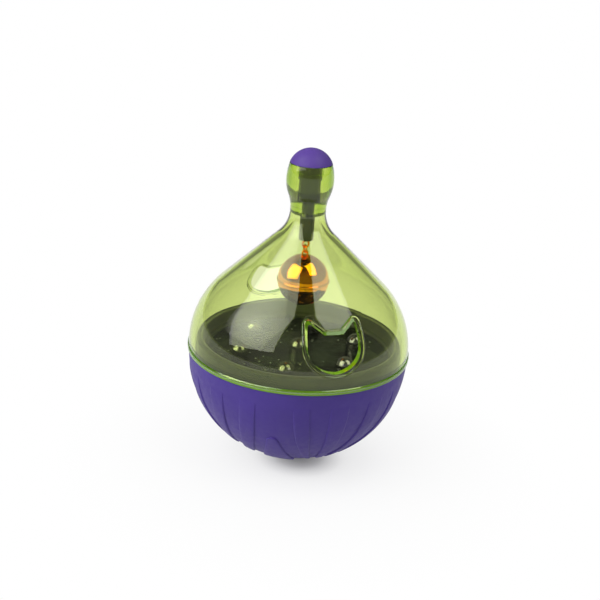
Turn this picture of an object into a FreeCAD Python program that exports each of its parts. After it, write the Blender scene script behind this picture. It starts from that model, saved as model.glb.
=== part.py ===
"""Roly-poly treat dispenser: a weighted soft ball base, a clear teardrop dome with two
cat-head outlets, and a jingle bell that hangs from a rod in the dome's neck.

The origin is the middle of the small flat foot, +Z is up and the outlets face -Y and +Y.
Heights inside the dome are measured up from the seam, where the dome meets the base.
"""
import FreeCAD, Part
import math
import os
import Sketcher

doc = FreeCAD.newDocument("treat_dispenser")

# Driving dimensions

sheet = doc.addObject("Spreadsheet::Sheet", "Dims")


def dimension(alias, value, note):
    """Put one driving dimension on the next row of the sheet."""
    dimension.row += 1
    cell = "A%d" % dimension.row
    sheet.set(cell, str(value))
    sheet.setAlias(cell, alias)
    sheet.set("B%d" % dimension.row, note)


dimension.row = 0

# Ball base
dimension("ball_radius", 51.75, "outer radius of the soft ball")
dimension("foot_radius", 6, "radius of the small flat that the ball rests on")
dimension("cover_wall", 2.4, "wall of the soft cover")
dimension("shell_wall", 2, "wall of the hard inner bowl")
dimension("piece_gap", 0.1, "play between pieces that nest in the base")
# Raised tongues of the soft cover
dimension("tongue_swell", 1.1, "how far the tongues' round face is lowered below the ball's")
dimension("tongue_top_drop", 5, "from the seam down to where the tongues fade out of the ball")
dimension("tongue_width", 9, "width of a tongue at its upper end")
dimension("tongue_tip_width", 2.6, "width of a tongue at its lower end")
dimension("tongue_length", 20.8, "length of a tongue, seen in plan")
dimension("tongue_sectors", 4, "how often the group of tongues repeats round the ball")
dimension("flame_inset", 6.3, "from the ball's outside in to a flame's upper tip, in plan")
dimension("flame_rise", 15.5, "from a flame's upper tip to its widest place, in plan")
dimension("flame_root", 16, "from there to its lower tip, in plan")
dimension("flame_width", 12.5, "width of a flame at its widest place")
# Counterweight
dimension("weight_height", 8.5, "height of the counterweight")
dimension("weight_boss_radius", 4, "boss that the counterweight is pushed over")
dimension("weight_screw_radius", 1.95, "shank of the counterweight's screw")
dimension("weight_screw_length", 9, "length of that shank")
dimension("weight_head_radius", 3.6, "head of the counterweight's screw")
dimension("weight_head_height", 2.4, "height of that head")
dimension("washer_radius", 7.5, "washer over the counterweight")
dimension("washer_thickness", 1, "thickness of the washer")
# Feeding tray
dimension("tray_floor_depth", 1.5, "from the seam down to the tray's floor")
dimension("tray_floor_wall", 2, "thickness of the tray's floor")
dimension("tray_corner_radius", 2.5, "round between the tray's floor and its ring")
dimension("ring_height", 6.9, "height of the tray's ring above the seam")
dimension("ring_wall", 3.2, "wall of the ring")
dimension("ring_play", 1, "play between the ring and the dome that slides over it")
dimension("ring_edge_radius", 0.8, "round on the ring's two upper edges")
dimension("flange_thickness", 1.6, "flange of the tray on the inner bowl's rim")
dimension("bump_radius", 4.65, "radius of the rounded bumps")
dimension("bump_height", 7.1, "height of the bumps above the floor")
dimension("bump_inset", 16, "from the ring's inside to the middles of the outer bumps")
dimension("bump_count", 6, "bumps on the circle, besides the one in the middle")
# Tray screws and their posts
dimension("post_inset", 13.1, "from the inner bowl's wall to the middles of the posts")
dimension("post_count", 3, "number of posts")
dimension("post_radius", 4.2, "outside of the posts and bosses")
dimension("boss_length", 6, "length of the tray's bosses under its floor")
dimension("post_web", 2, "web in each post's top that the screw clamps")
dimension("tray_screw_radius", 1.45, "shank of the tray screws")
dimension("tray_screw_length", 8, "length of that shank")
dimension("tray_head_radius", 2.7, "head of the tray screws")
dimension("tray_head_height", 1.9, "height of that head")
# Sealing ring
dimension("seal_thickness", 0.8, "thickness of the sealing ring")
dimension("seal_play", 0.3, "play of the ring round the tray and in the dome's foot")
dimension("lid_gap", 0.15, "gap between the dome and what it rests on")
# Dome
dimension("dome_step", 0.25, "how far the dome above its lip stands out from the ball")
dimension("dome_wall", 2.8, "wall of the dome")
dimension("lip_overhang", 0.5, "how far the lip stands out from the dome")
dimension("lip_height", 1.9, "height of the lip")
dimension("foot_skin", 1.3, "wall of the dome's foot outside the sealing ring")
dimension("belly_start", 3, "height above the seam where the belly begins to round in")
dimension("belly_radius", 41, "radius of the belly's section")
dimension("shoulder_angle", 46, "slope of the shoulder from the upright")
dimension("neck_radius", 8.2, "outside of the neck at its narrowest")
dimension("neck_sweep_radius", 16.5, "radius of the hollow sweep from shoulder to neck")
dimension("neck_floor", 2, "thickness of the dome's top under the knob")
# Cat-head outlets
dimension("outlet_cheek", 12.4, "half width of the outlet at the cheeks")
dimension("cheek_height", 20.5, "height of the cheeks above the seam")
dimension("chin_height", 9.8, "height of the outlet's lowest point")
dimension("jaw_reach", 9.4, "half width of the outlet at the jaw")
dimension("jaw_height", 13.6, "height of the jaw")
dimension("ear_reach", 10.4, "distance of an ear's tip from the middle")
dimension("ear_height", 30, "height of the ears' tips")
dimension("ear_tip_radius", 1.1, "round at an ear's tip")
dimension("brow_reach", 4.4, "half width of the brow between the ears")
dimension("brow_height", 26, "height of the brow")
dimension("bead_distance", 1.1, "from the outlet's edge to the raised bead round it")
dimension("bead_width", 1.2, "width of that bead")
dimension("bead_rise", 0.5, "how far the bead stands out from the dome")
# Knob
dimension("knob_radius", 10.9, "largest radius of the knob")
dimension("knob_belly_rise", 13.8, "from the neck up to the knob's widest place")
dimension("knob_height", 21.7, "from the neck up to the knob's rim")
dimension("knob_rim_radius", 9.75, "outside of the knob's rim")
dimension("knob_floor", 5.2, "solid lower end of the knob")
dimension("knob_bore", 5.9, "bore of the knob")
dimension("knob_mouth_step", 0.4, "how much wider the mouth of that bore is")
dimension("knob_mouth_depth", 4, "depth of the mouth")
# Cap
dimension("cap_height", 6.8, "height of the soft cap above the knob's rim")
# Stem, a turned bolt
dimension("stem_play", 0.3, "play of the stem's head in the knob's bore")
dimension("stem_head_height", 6.6, "height of that head")
dimension("stem_step", 0.6, "step from the stem's head in to its thick part")
dimension("stem_shank_radius", 2.85, "shank of the stem")
dimension("stem_thread_length", 5, "length of the shank inside the rod")
dimension("button_radius", 3.4, "button on the stem that the cap snaps over")
dimension("button_neck_radius", 2.4, "neck under that button")
dimension("button_neck_height", 1.6, "height of the neck above the knob's rim")
dimension("button_height", 1.6, "height of the button")
dimension("shank_play", 0.05, "radial play of shanks in their holes")
# Bell rod
dimension("rod_radius", 3.4, "radius of the rod that carries the bell")
dimension("rod_length", 13.4, "length of the rod below the dome's top")
dimension("rod_edge_radius", 0.6, "round on the rod's lower edge")
# Chain
dimension("eye_wire_radius", 0.45, "wire of the screw eye")
dimension("eye_ring_radius", 1.5, "middle radius of the eye")
dimension("eye_shank_length", 4.5, "shank of the screw eye")
dimension("link_wire_radius", 0.4, "wire of the jump ring")
dimension("link_ring_radius", 1.8, "middle radius of the jump ring")
dimension("link_play", 0.1, "play where one ring hangs in the next")
dimension("bell_clearance", 0.85, "room between the jump ring and the bell's top")
# Bell
dimension("bell_radius", 12, "outer radius of the bell")
dimension("bell_wall", 0.6, "wall of the bell")
dimension("bell_bead", 0.35, "how far the bead at the bell's seam stands out")
dimension("bell_bead_height", 0.6, "height of the bead on each half")
dimension("loop_ring_radius", 1.3, "middle radius of the bell's loop")
dimension("loop_wire_radius", 0.45, "wire of the bell's loop")
dimension("loop_foot_radius", 0.8, "clenched foot of each leg inside the bell")
dimension("loop_foot_height", 0.5, "height of that foot")
dimension("slot_width", 1.8, "slot across the bell's underside")
dimension("slot_hole_radius", 2.1, "round hole at each end of the slot")
dimension("slot_hole_drop", 3.2, "from the bell's middle down to those holes")
dimension("slot_turn", 18, "turn of the slot about the upright")
dimension("pea_radius", 3, "loose ball in the bell")

doc.recompute()


def size(expression):
    """The present value of an expression of sheet aliases."""
    value = sheet.evalExpression(expression.replace("Dims.", ""))
    return float(getattr(value, "Value", value))


# Derived places, written once as expressions of the sheet
SEAM = "sqrt(Dims.ball_radius ^ 2 - Dims.foot_radius ^ 2)"
SHELL_OUTER = "(Dims.ball_radius - Dims.cover_wall)"
SHELL_INNER = "(Dims.ball_radius - Dims.cover_wall - Dims.shell_wall)"
SHELL_FLOOR = "(%s - %s)" % (SEAM, SHELL_INNER)
WEIGHT_TOP = "(%s + Dims.piece_gap + Dims.weight_height)" % SHELL_FLOOR
TRAY_FLOOR = "(%s - Dims.tray_floor_depth)" % SEAM
TRAY_UNDERSIDE = "(%s - Dims.tray_floor_wall)" % TRAY_FLOOR
POST_TOP = "(%s - Dims.boss_length)" % TRAY_UNDERSIDE
DOME_FOOT = "(%s + Dims.lid_gap)" % SEAM
DOME_RADIUS = "(Dims.ball_radius + Dims.dome_step)"
DOME_INSIDE = "(%s - Dims.dome_wall)" % DOME_RADIUS
RING_OUTER = "(%s - Dims.ring_play)" % DOME_INSIDE
RING_INNER = "(%s - Dims.ring_wall)" % RING_OUTER
BUMP_CIRCLE = "(%s - Dims.bump_inset)" % RING_INNER
POST_CIRCLE = "(sqrt(%s ^ 2 - (%s - %s) ^ 2) - Dims.post_inset)" % (
    SHELL_INNER,
    SEAM,
    TRAY_UNDERSIDE,
)
BELLY_TOP = "(%s + Dims.belly_start + Dims.belly_radius * sin(Dims.shoulder_angle))" % SEAM
BELLY_TOP_RADIUS = "(%s - Dims.belly_radius * (1 - cos(Dims.shoulder_angle)))" % DOME_RADIUS
SWEEP_RADIUS = "(Dims.neck_radius + Dims.neck_sweep_radius * (1 - cos(Dims.shoulder_angle)))"
SWEEP_FOOT = "(%s + (%s - %s) / tan(Dims.shoulder_angle))" % (
    BELLY_TOP,
    BELLY_TOP_RADIUS,
    SWEEP_RADIUS,
)
NECK = "(%s + Dims.neck_sweep_radius * sin(Dims.shoulder_angle))" % SWEEP_FOOT
NECK_UNDERSIDE = "(%s - Dims.neck_floor)" % NECK
KNOB_RIM = "(%s + Dims.knob_height)" % NECK
KNOB_INSIDE = "(%s + Dims.knob_floor)" % NECK
ROD_END = "(%s - Dims.rod_length)" % NECK_UNDERSIDE
EYE_CENTRE = "(%s - Dims.piece_gap - Dims.eye_wire_radius - Dims.eye_ring_radius)" % ROD_END
EYE_SEAT = "(%s - Dims.eye_ring_radius)" % EYE_CENTRE
LINK_CENTRE = (
    "(%s + Dims.eye_wire_radius + Dims.link_wire_radius + Dims.link_play"
    " - Dims.link_ring_radius)" % EYE_SEAT
)
LINK_SEAT = "(%s - Dims.link_ring_radius)" % LINK_CENTRE
LOOP_CENTRE = (
    "(%s + Dims.link_wire_radius + Dims.loop_wire_radius + Dims.link_play"
    " - Dims.loop_ring_radius)" % LINK_SEAT
)
BELL_TOP = "(%s - Dims.link_wire_radius - Dims.bell_clearance)" % LINK_SEAT
BELL_CENTRE = "(%s - Dims.bell_radius)" % BELL_TOP


# Sketch and feature helpers


def origin_plane(body, role):
    """One of the body's own origin planes or axes."""
    return next(item for item in body.Origin.OriginFeatures if item.Role == role)


def new_body(label):
    body = doc.addObject("PartDesign::Body", label)
    body.Label = label
    return body


def new_sketch(body, name, plane="XZ_Plane", height=None, turn=None):
    """A sketch on one of the body's planes, lifted and turned by expressions."""
    sketch = body.newObject("Sketcher::SketchObject", name)
    sketch.AttachmentSupport = [(origin_plane(body, plane), "")]
    sketch.MapMode = "FlatFace"
    if height is not None:
        sketch.setExpression("AttachmentOffset.Base.z", height)
    if turn is not None:
        sketch.setExpression("AttachmentOffset.Rotation.Angle", turn)
    return sketch


def fix_point(sketch, item, end, across, up):
    """Tie one point of the sketch to expressions of its two coordinates."""
    for kind, axis, expression in (("DistanceX", -2, across), ("DistanceY", -1, up)):
        value = size(expression)
        if expression == "0":
            sketch.addConstraint(Sketcher.Constraint("PointOnObject", item, end, axis))
        else:
            index = sketch.addConstraint(Sketcher.Constraint(kind, item, end, value))
            sketch.setExpression("Constraints[%d]" % index, expression)


def arc_between(start, finish, radius, turn):
    """The short arc from start to finish; turn is 1 for anticlockwise, -1 for clockwise."""
    chord = finish - start
    rise = math.sqrt(radius ** 2 - (chord.Length / 2) ** 2)
    left = FreeCAD.Vector(-chord.y, chord.x, 0).normalize()
    centre = (start + finish) * 0.5 + left * (rise * turn)
    if turn < 0:
        start, finish = finish, start
    angles = [math.atan2(p.y - centre.y, p.x - centre.x) for p in (start, finish)]
    circle = Part.Circle(centre, FreeCAD.Vector(0, 0, 1), radius)
    return Part.ArcOfCircle(circle, angles[0], angles[1])


def outline(sketch, corners, arcs=None):
    """Close a loop through the corners, each a pair of expressions.

    arcs gives the sides that are arcs: the side's number, its radius and its turn.
    """
    arcs = arcs or {}
    points = [FreeCAD.Vector(size(across), size(up), 0) for across, up in corners]
    ends = []
    for number, start in enumerate(points):
        finish = points[(number + 1) % len(points)]
        if number in arcs:
            radius, turn = arcs[number]
            item = sketch.addGeometry(arc_between(start, finish, size(radius), turn), False)
            ends.append((item, 1, 2) if turn > 0 else (item, 2, 1))
        else:
            item = sketch.addGeometry(Part.LineSegment(start, finish), False)
            ends.append((item, 1, 2))
    for number, (item, first, last) in enumerate(ends):
        following = ends[(number + 1) % len(ends)]
        meet = Sketcher.Constraint("Coincident", item, last, following[0], following[1])
        sketch.addConstraint(meet)
        fix_point(sketch, item, first, *corners[number])
        if number in arcs:
            radius = arcs[number][0]
            index = sketch.addConstraint(Sketcher.Constraint("Radius", item, size(radius)))
            sketch.setExpression("Constraints[%d]" % index, radius)


def circle_in(sketch, across, up, radius):
    """A full circle at a place given by expressions."""
    centre = FreeCAD.Vector(size(across), size(up), 0)
    circle = Part.Circle(centre, FreeCAD.Vector(0, 0, 1), size(radius))
    item = sketch.addGeometry(circle, False)
    fix_point(sketch, item, 3, across, up)
    index = sketch.addConstraint(Sketcher.Constraint("Radius", item, size(radius)))
    sketch.setExpression("Constraints[%d]" % index, radius)


def turned(body, name, corners, arcs=None, cut=False, axis_at=None):
    """A full turn of a half section about the upright axis, or about one at axis_at."""
    sketch = new_sketch(body, name + "_section")
    if axis_at is None:
        axis = "V_Axis"
    else:
        corners = [("%s + %s" % (axis_at, across), up) for across, up in corners]
        foot = FreeCAD.Vector(size(axis_at), 0, 0)
        item = sketch.addGeometry(Part.LineSegment(foot, foot + FreeCAD.Vector(0, 9, 0)), True)
        fix_point(sketch, item, 1, axis_at, "0")
        fix_point(sketch, item, 2, axis_at, "9")
        axis = "Axis0"
    outline(sketch, corners, arcs)
    kind = "PartDesign::Groove" if cut else "PartDesign::Revolution"
    feature = body.newObject(kind, name)
    feature.Profile = sketch
    feature.ReferenceAxis = (sketch, [axis])
    feature.Angle = 360
    return feature


def raised(body, name, sketch, length, downwards=False):
    """A pad of a sketch, up or down."""
    pad = body.newObject("PartDesign::Pad", name)
    pad.Profile = sketch
    pad.setExpression("Length", length)
    pad.Reversed = downwards
    return pad


def sunk(body, name, sketch, length, upwards=False):
    """A pocket of a sketch; upwards says on which side of the sketch the material is."""
    pocket = body.newObject("PartDesign::Pocket", name)
    pocket.Profile = sketch
    pocket.setExpression("Length", length)
    pocket.Reversed = upwards
    return pocket


def polar(body, name, features, count):
    """Repeat features evenly about the body's upright axis."""
    pattern = body.newObject("PartDesign::PolarPattern", name)
    pattern.Originals = features
    pattern.Axis = (origin_plane(body, "Z_Axis"), [""])
    pattern.Angle = 360
    pattern.setExpression("Occurrences", count)
    body.Tip = pattern
    return pattern


def primitive(kind, name, sizes, **places):
    """A Part primitive with its sizes and its place bound to expressions."""
    item = doc.addObject(kind, name)
    for key, expression in sizes.items():
        item.setExpression(key, expression)
    for key, expression in places.items():
        item.setExpression("Placement.Base." + key, expression)
    return item


def fused(label, shapes):
    joined = doc.addObject("Part::MultiFuse", label)
    joined.Label = label
    joined.Shapes = shapes
    return joined


# Soft cover with its raised tongues


def tongue(body, name, azimuth, lean, widen=0.0):
    """One tapering tongue, drawn in plan; lean shifts its lower end sideways."""
    sketch = new_sketch(body, name + "_plan", "XY_Plane", turn="%s deg" % azimuth)
    top = "(Dims.tongue_width + %s) / 2" % widen
    tip = "Dims.tongue_tip_width / 2"
    outer = "-(Dims.ball_radius + Dims.tongue_swell)"
    tip_at = "-(Dims.ball_radius - Dims.tongue_length)"
    corners = [
        ("-" + top, outer),
        (top, outer),
        ("%s + %s" % (tip, lean), tip_at),
        ("-(%s) + %s" % (tip, lean), tip_at),
    ]
    outline(sketch, corners, {2: ("Dims.tongue_tip_width * 0.55", 1)})
    return raised(body, name, sketch, SEAM)


def flame(body, name, azimuth):
    """A short leaf that points up from the underside between two tongues."""
    sketch = new_sketch(body, name + "_plan", "XY_Plane", turn="%s deg" % azimuth)
    half = "Dims.flame_width / 2"
    upper = "-(Dims.ball_radius - Dims.flame_inset)"
    middle = "-(Dims.ball_radius - Dims.flame_inset - Dims.flame_rise)"
    corners = [
        ("-Dims.flame_width * 0.09", upper),
        ("Dims.flame_width * 0.09", upper),
        (half, middle),
        ("0", "%s + Dims.flame_root" % middle),
        ("-" + half, middle),
    ]
    outline(sketch, corners, {0: ("Dims.flame_width * 0.1", 1)})
    return raised(body, name, sketch, SEAM)


ball = new_body("cover_ball")
turned(
    ball,
    "cover_wall",
    [
        ("0", "0"),
        ("Dims.foot_radius", "0"),
        ("Dims.ball_radius", SEAM),
        (SHELL_OUTER, SEAM),
        ("0", "%s - %s" % (SEAM, SHELL_OUTER)),
    ],
    {1: ("Dims.ball_radius", 1), 3: (SHELL_OUTER, -1)},
)

tongue_blank = new_body("tongue_blank")
tongue_blank.AllowCompound = True
group = [
    tongue(tongue_blank, "tongue_left", -44, -2.4),
    flame(tongue_blank, "flame", -31.5),
    tongue(tongue_blank, "tongue_middle", -16, 3.4),
    tongue(tongue_blank, "tongue_right", 4.5, 0.6, 0.8),
    tongue(tongue_blank, "tongue_far", 26, -2.6),
]
polar(tongue_blank, "tongue_ring", group, "Dims.tongue_sectors")
# The relief ball sits a little lower than the ball, so the tongues swell out of it downwards
relief_ball = primitive(
    "Part::Sphere",
    "relief_ball",
    {"Radius": "Dims.ball_radius - Dims.tongue_swell * Dims.tongue_top_drop / Dims.ball_radius"},
    z="%s - Dims.tongue_swell" % SEAM,
)
hollow_ball = primitive(
    "Part::Sphere", "hollow_ball", {"Radius": "Dims.ball_radius - Dims.cover_wall / 2"}, z=SEAM
)
relief_layer = doc.addObject("Part::Cut", "relief_layer")
relief_layer.Base = relief_ball
relief_layer.Tool = hollow_ball
tongues = doc.addObject("Part::Common", "tongues")
tongues.Base = tongue_blank
tongues.Tool = relief_layer
base_cover = fused("base_cover", [ball, tongues])


# Hard inner bowl with its posts


def ring_of_circles(body, name, height, radius):
    """A sketch with one circle on the circle of the posts."""
    sketch = new_sketch(body, name, "XY_Plane", height=height)
    circle_in(sketch, POST_CIRCLE, "0", radius)
    return sketch


base_shell = new_body("base_shell")
RIM = "(%s - Dims.flange_thickness)" % SEAM
RIM_OUTER = "sqrt(%s ^ 2 - Dims.flange_thickness ^ 2)" % SHELL_OUTER
RIM_INNER = "sqrt(%s ^ 2 - Dims.flange_thickness ^ 2)" % SHELL_INNER
turned(
    base_shell,
    "bowl",
    [
        ("0", "%s - %s" % (SEAM, SHELL_OUTER)),
        (RIM_OUTER, RIM),
        (RIM_INNER, RIM),
        ("0", SHELL_FLOOR),
    ],
    {0: (SHELL_OUTER, 1), 2: (SHELL_INNER, -1)},
)
post = raised(
    base_shell,
    "post",
    ring_of_circles(base_shell, "post_plan", POST_TOP, "Dims.post_radius"),
    POST_TOP,
    downwards=True,
)
polar(base_shell, "posts", [post], "Dims.post_count")
turned(
    base_shell,
    "trim_outside",
    [
        ("0", "%s - %s" % (SEAM, SHELL_OUTER)),
        (SHELL_OUTER, SEAM),
        ("Dims.ball_radius * 2", SEAM),
        ("Dims.ball_radius * 2", "-Dims.ball_radius"),
        ("0", "-Dims.ball_radius"),
    ],
    {0: (SHELL_OUTER, 1)},
    cut=True,
)
boss_plan = new_sketch(
    base_shell, "weight_boss_plan", "XY_Plane", height="%s - Dims.shell_wall / 2" % SHELL_FLOOR
)
circle_in(boss_plan, "0", "0", "Dims.weight_boss_radius")
raised(
    base_shell,
    "weight_boss",
    boss_plan,
    "Dims.shell_wall / 2 + Dims.weight_height + Dims.piece_gap",
)
pilot_plan = new_sketch(base_shell, "weight_pilot_plan", "XY_Plane", height=WEIGHT_TOP)
circle_in(pilot_plan, "0", "0", "Dims.weight_screw_radius + Dims.shank_play")
sunk(
    base_shell,
    "weight_pilot",
    pilot_plan,
    "min(Dims.weight_screw_length; Dims.weight_height + Dims.shell_wall / 2)",
)
screw_way = sunk(
    base_shell,
    "screw_way",
    ring_of_circles(
        base_shell,
        "screw_way_plan",
        "%s - Dims.post_web" % POST_TOP,
        "Dims.tray_head_radius + Dims.piece_gap * 2",
    ),
    POST_TOP,
)
screw_hole = sunk(
    base_shell,
    "screw_hole",
    ring_of_circles(
        base_shell, "screw_hole_plan", POST_TOP, "Dims.tray_screw_radius + Dims.shank_play"
    ),
    "Dims.post_web * 2",
)
polar(base_shell, "screw_ways", [screw_way, screw_hole], "Dims.post_count")


# Counterweight, washer and screw

WEIGHT_RADIUS = "(%s - Dims.piece_gap)" % SHELL_INNER
WEIGHT_TOP_RADIUS = "sqrt(%s ^ 2 - (%s - %s) ^ 2)" % (WEIGHT_RADIUS, SEAM, WEIGHT_TOP)
WEIGHT_HOLE = "(Dims.weight_boss_radius + Dims.piece_gap)"
counterweight = new_body("counterweight")
turned(
    counterweight,
    "lump",
    [
        (WEIGHT_HOLE, "%s - sqrt(%s ^ 2 - %s ^ 2)" % (SEAM, WEIGHT_RADIUS, WEIGHT_HOLE)),
        (WEIGHT_TOP_RADIUS, WEIGHT_TOP),
        (WEIGHT_HOLE, WEIGHT_TOP),
    ],
    {0: (WEIGHT_RADIUS, 1)},
)

weight_washer = new_body("weight_washer")
turned(
    weight_washer,
    "washer",
    [
        ("Dims.weight_screw_radius + Dims.shank_play", WEIGHT_TOP),
        ("Dims.washer_radius", WEIGHT_TOP),
        ("Dims.washer_radius", "%s + Dims.washer_thickness" % WEIGHT_TOP),
        (
            "Dims.weight_screw_radius + Dims.shank_play",
            "%s + Dims.washer_thickness" % WEIGHT_TOP,
        ),
    ],
)


def pan_screw(body, radius, length, head_radius, head_height, seat, down, axis_at=None):
    """A screw with a domed pan head; seat is the head's bearing face, down is 1 or -1."""
    tip = "%s - (%s) * %d" % (seat, length, down)
    crown = "%s + (%s) * %d" % (seat, head_height, down)
    shoulder = "%s + (%s) * %s" % (seat, head_height, 0.35 * down)
    return turned(
        body,
        "screw",
        [
            ("0", tip),
            ("%s * 0.4" % radius, tip),
            (radius, "%s - (%s - %s) * %d" % (seat, length, radius, down)),
            (radius, seat),
            (head_radius, seat),
            (head_radius, shoulder),
            ("%s * 0.6" % head_radius, crown),
            ("0", crown),
        ],
        axis_at=axis_at,
    )


weight_screw = new_body("weight_screw")
pan_screw(
    weight_screw,
    "Dims.weight_screw_radius",
    "Dims.weight_screw_length",
    "Dims.weight_head_radius",
    "Dims.weight_head_height",
    "(%s + Dims.washer_thickness)" % WEIGHT_TOP,
    1,
)


# Feeding tray with its ring and bumps

feeding_tray = new_body("feeding_tray")
RING_TOP = "(%s + Dims.ring_height)" % SEAM
SPIGOT = "(sqrt(%s ^ 2 - (%s - %s) ^ 2) - Dims.piece_gap)" % (SHELL_INNER, SEAM, TRAY_UNDERSIDE)
turned(
    feeding_tray,
    "dish",
    [
        ("0", TRAY_UNDERSIDE),
        (SPIGOT, TRAY_UNDERSIDE),
        (SPIGOT, RIM),
        (SHELL_OUTER + " - Dims.piece_gap", RIM),
        (SHELL_OUTER + " - Dims.piece_gap", SEAM),
        (RING_OUTER, SEAM),
        (RING_OUTER, "%s - Dims.ring_edge_radius" % RING_TOP),
        (RING_OUTER + " - Dims.ring_edge_radius", RING_TOP),
        (RING_INNER + " + Dims.ring_edge_radius", RING_TOP),
        (RING_INNER, "%s - Dims.ring_edge_radius" % RING_TOP),
        (RING_INNER, "%s + Dims.tray_corner_radius" % TRAY_FLOOR),
        (RING_INNER + " - Dims.tray_corner_radius", TRAY_FLOOR),
        ("0", TRAY_FLOOR),
    ],
    {
        6: ("Dims.ring_edge_radius", 1),
        8: ("Dims.ring_edge_radius", 1),
        10: ("Dims.tray_corner_radius", -1),
    },
)
boss = raised(
    feeding_tray,
    "boss",
    ring_of_circles(
        feeding_tray, "boss_plan", POST_TOP, "Dims.post_radius - Dims.piece_gap"
    ),
    "Dims.boss_length + Dims.tray_floor_wall / 2",
)
pilot = sunk(
    feeding_tray,
    "pilot",
    ring_of_circles(
        feeding_tray, "pilot_plan", POST_TOP, "Dims.tray_screw_radius + Dims.shank_play"
    ),
    "Dims.boss_length + Dims.tray_floor_wall / 2",
    upwards=True,
)
polar(feeding_tray, "bosses", [boss, pilot], "Dims.post_count")
BUMP_SHOULDER = "(%s + Dims.bump_height - Dims.bump_radius)" % TRAY_FLOOR
BUMP_SECTION = [
    ("0", "%s - Dims.tray_floor_wall / 2" % TRAY_FLOOR),
    ("Dims.bump_radius", "%s - Dims.tray_floor_wall / 2" % TRAY_FLOOR),
    ("Dims.bump_radius", BUMP_SHOULDER),
    ("0", "%s + Dims.bump_height" % TRAY_FLOOR),
]
BUMP_ROUND = {2: ("Dims.bump_radius", 1)}
turned(feeding_tray, "middle_bump", BUMP_SECTION, BUMP_ROUND)
outer_bump = turned(
    feeding_tray, "outer_bump", BUMP_SECTION, BUMP_ROUND, axis_at=BUMP_CIRCLE
)
polar(feeding_tray, "bump_ring", [outer_bump], "Dims.bump_count")


# Tray screws, driven up through the posts

tray_screws = new_body("tray_screws")
tray_screws.AllowCompound = True
first_screw = pan_screw(
    tray_screws,
    "Dims.tray_screw_radius",
    "Dims.tray_screw_length",
    "Dims.tray_head_radius",
    "Dims.tray_head_height",
    "(%s - Dims.post_web)" % POST_TOP,
    -1,
    axis_at=POST_CIRCLE,
)
polar(tray_screws, "screw_set", [first_screw], "Dims.post_count")


# Sealing ring in the dome's foot

REBATE = "(%s - Dims.foot_skin)" % DOME_RADIUS
SEAL_INNER = "(%s + Dims.seal_play)" % RING_OUTER
SEAL_OUTER = "(%s - Dims.seal_play)" % REBATE
SEAL_TOP = "(%s + Dims.seal_thickness)" % SEAM
seal_ring = new_body("seal_ring")
turned(
    seal_ring,
    "ring",
    [(SEAL_INNER, SEAM), (SEAL_OUTER, SEAM), (SEAL_OUTER, SEAL_TOP), (SEAL_INNER, SEAL_TOP)],
)


# Clear dome with its two outlets

INNER_BELLY = "(Dims.belly_radius - Dims.dome_wall)"
INNER_SWEEP = "(Dims.neck_sweep_radius + Dims.dome_wall)"
SWEEP_AXIS = "(Dims.neck_radius + Dims.neck_sweep_radius)"
SHANK_HOLE = "(Dims.stem_shank_radius + Dims.shank_play)"
REBATE_TOP = "(%s + Dims.lid_gap)" % SEAL_TOP
LIP_RADIUS = "(%s + Dims.lip_overhang)" % DOME_RADIUS
BELLY_AXIS = "(%s - Dims.belly_radius)" % DOME_RADIUS
dome_shell = new_body("dome_shell")
turned(
    dome_shell,
    "wall",
    [
        (REBATE, DOME_FOOT),
        (LIP_RADIUS, DOME_FOOT),
        (LIP_RADIUS, "%s + Dims.lip_height" % DOME_FOOT),
        (DOME_RADIUS, "%s + Dims.lip_height + Dims.lip_overhang" % DOME_FOOT),
        (DOME_RADIUS, "%s + Dims.belly_start" % SEAM),
        (BELLY_TOP_RADIUS, BELLY_TOP),
        (SWEEP_RADIUS, SWEEP_FOOT),
        ("Dims.neck_radius", NECK),
        (SHANK_HOLE, NECK),
        (SHANK_HOLE, NECK_UNDERSIDE),
        (
            "%s - sqrt(%s ^ 2 - Dims.neck_floor ^ 2)" % (SWEEP_AXIS, INNER_SWEEP),
            NECK_UNDERSIDE,
        ),
        (
            "%s - %s * cos(Dims.shoulder_angle)" % (SWEEP_AXIS, INNER_SWEEP),
            "%s - %s * sin(Dims.shoulder_angle)" % (NECK, INNER_SWEEP),
        ),
        (
            "%s + %s * cos(Dims.shoulder_angle)" % (BELLY_AXIS, INNER_BELLY),
            "%s + Dims.belly_start + %s * sin(Dims.shoulder_angle)" % (SEAM, INNER_BELLY),
        ),
        (DOME_INSIDE, "%s + Dims.belly_start" % SEAM),
        (DOME_INSIDE, REBATE_TOP),
        (REBATE, REBATE_TOP),
    ],
    {
        4: ("Dims.belly_radius", 1),
        6: ("Dims.neck_sweep_radius", -1),
        10: (INNER_SWEEP, 1),
        12: (INNER_BELLY, -1),
    },
)


def seam_up(alias):
    """The height of a dimension that counts from the seam."""
    return "%s + Dims.%s" % (SEAM, alias)


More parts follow.
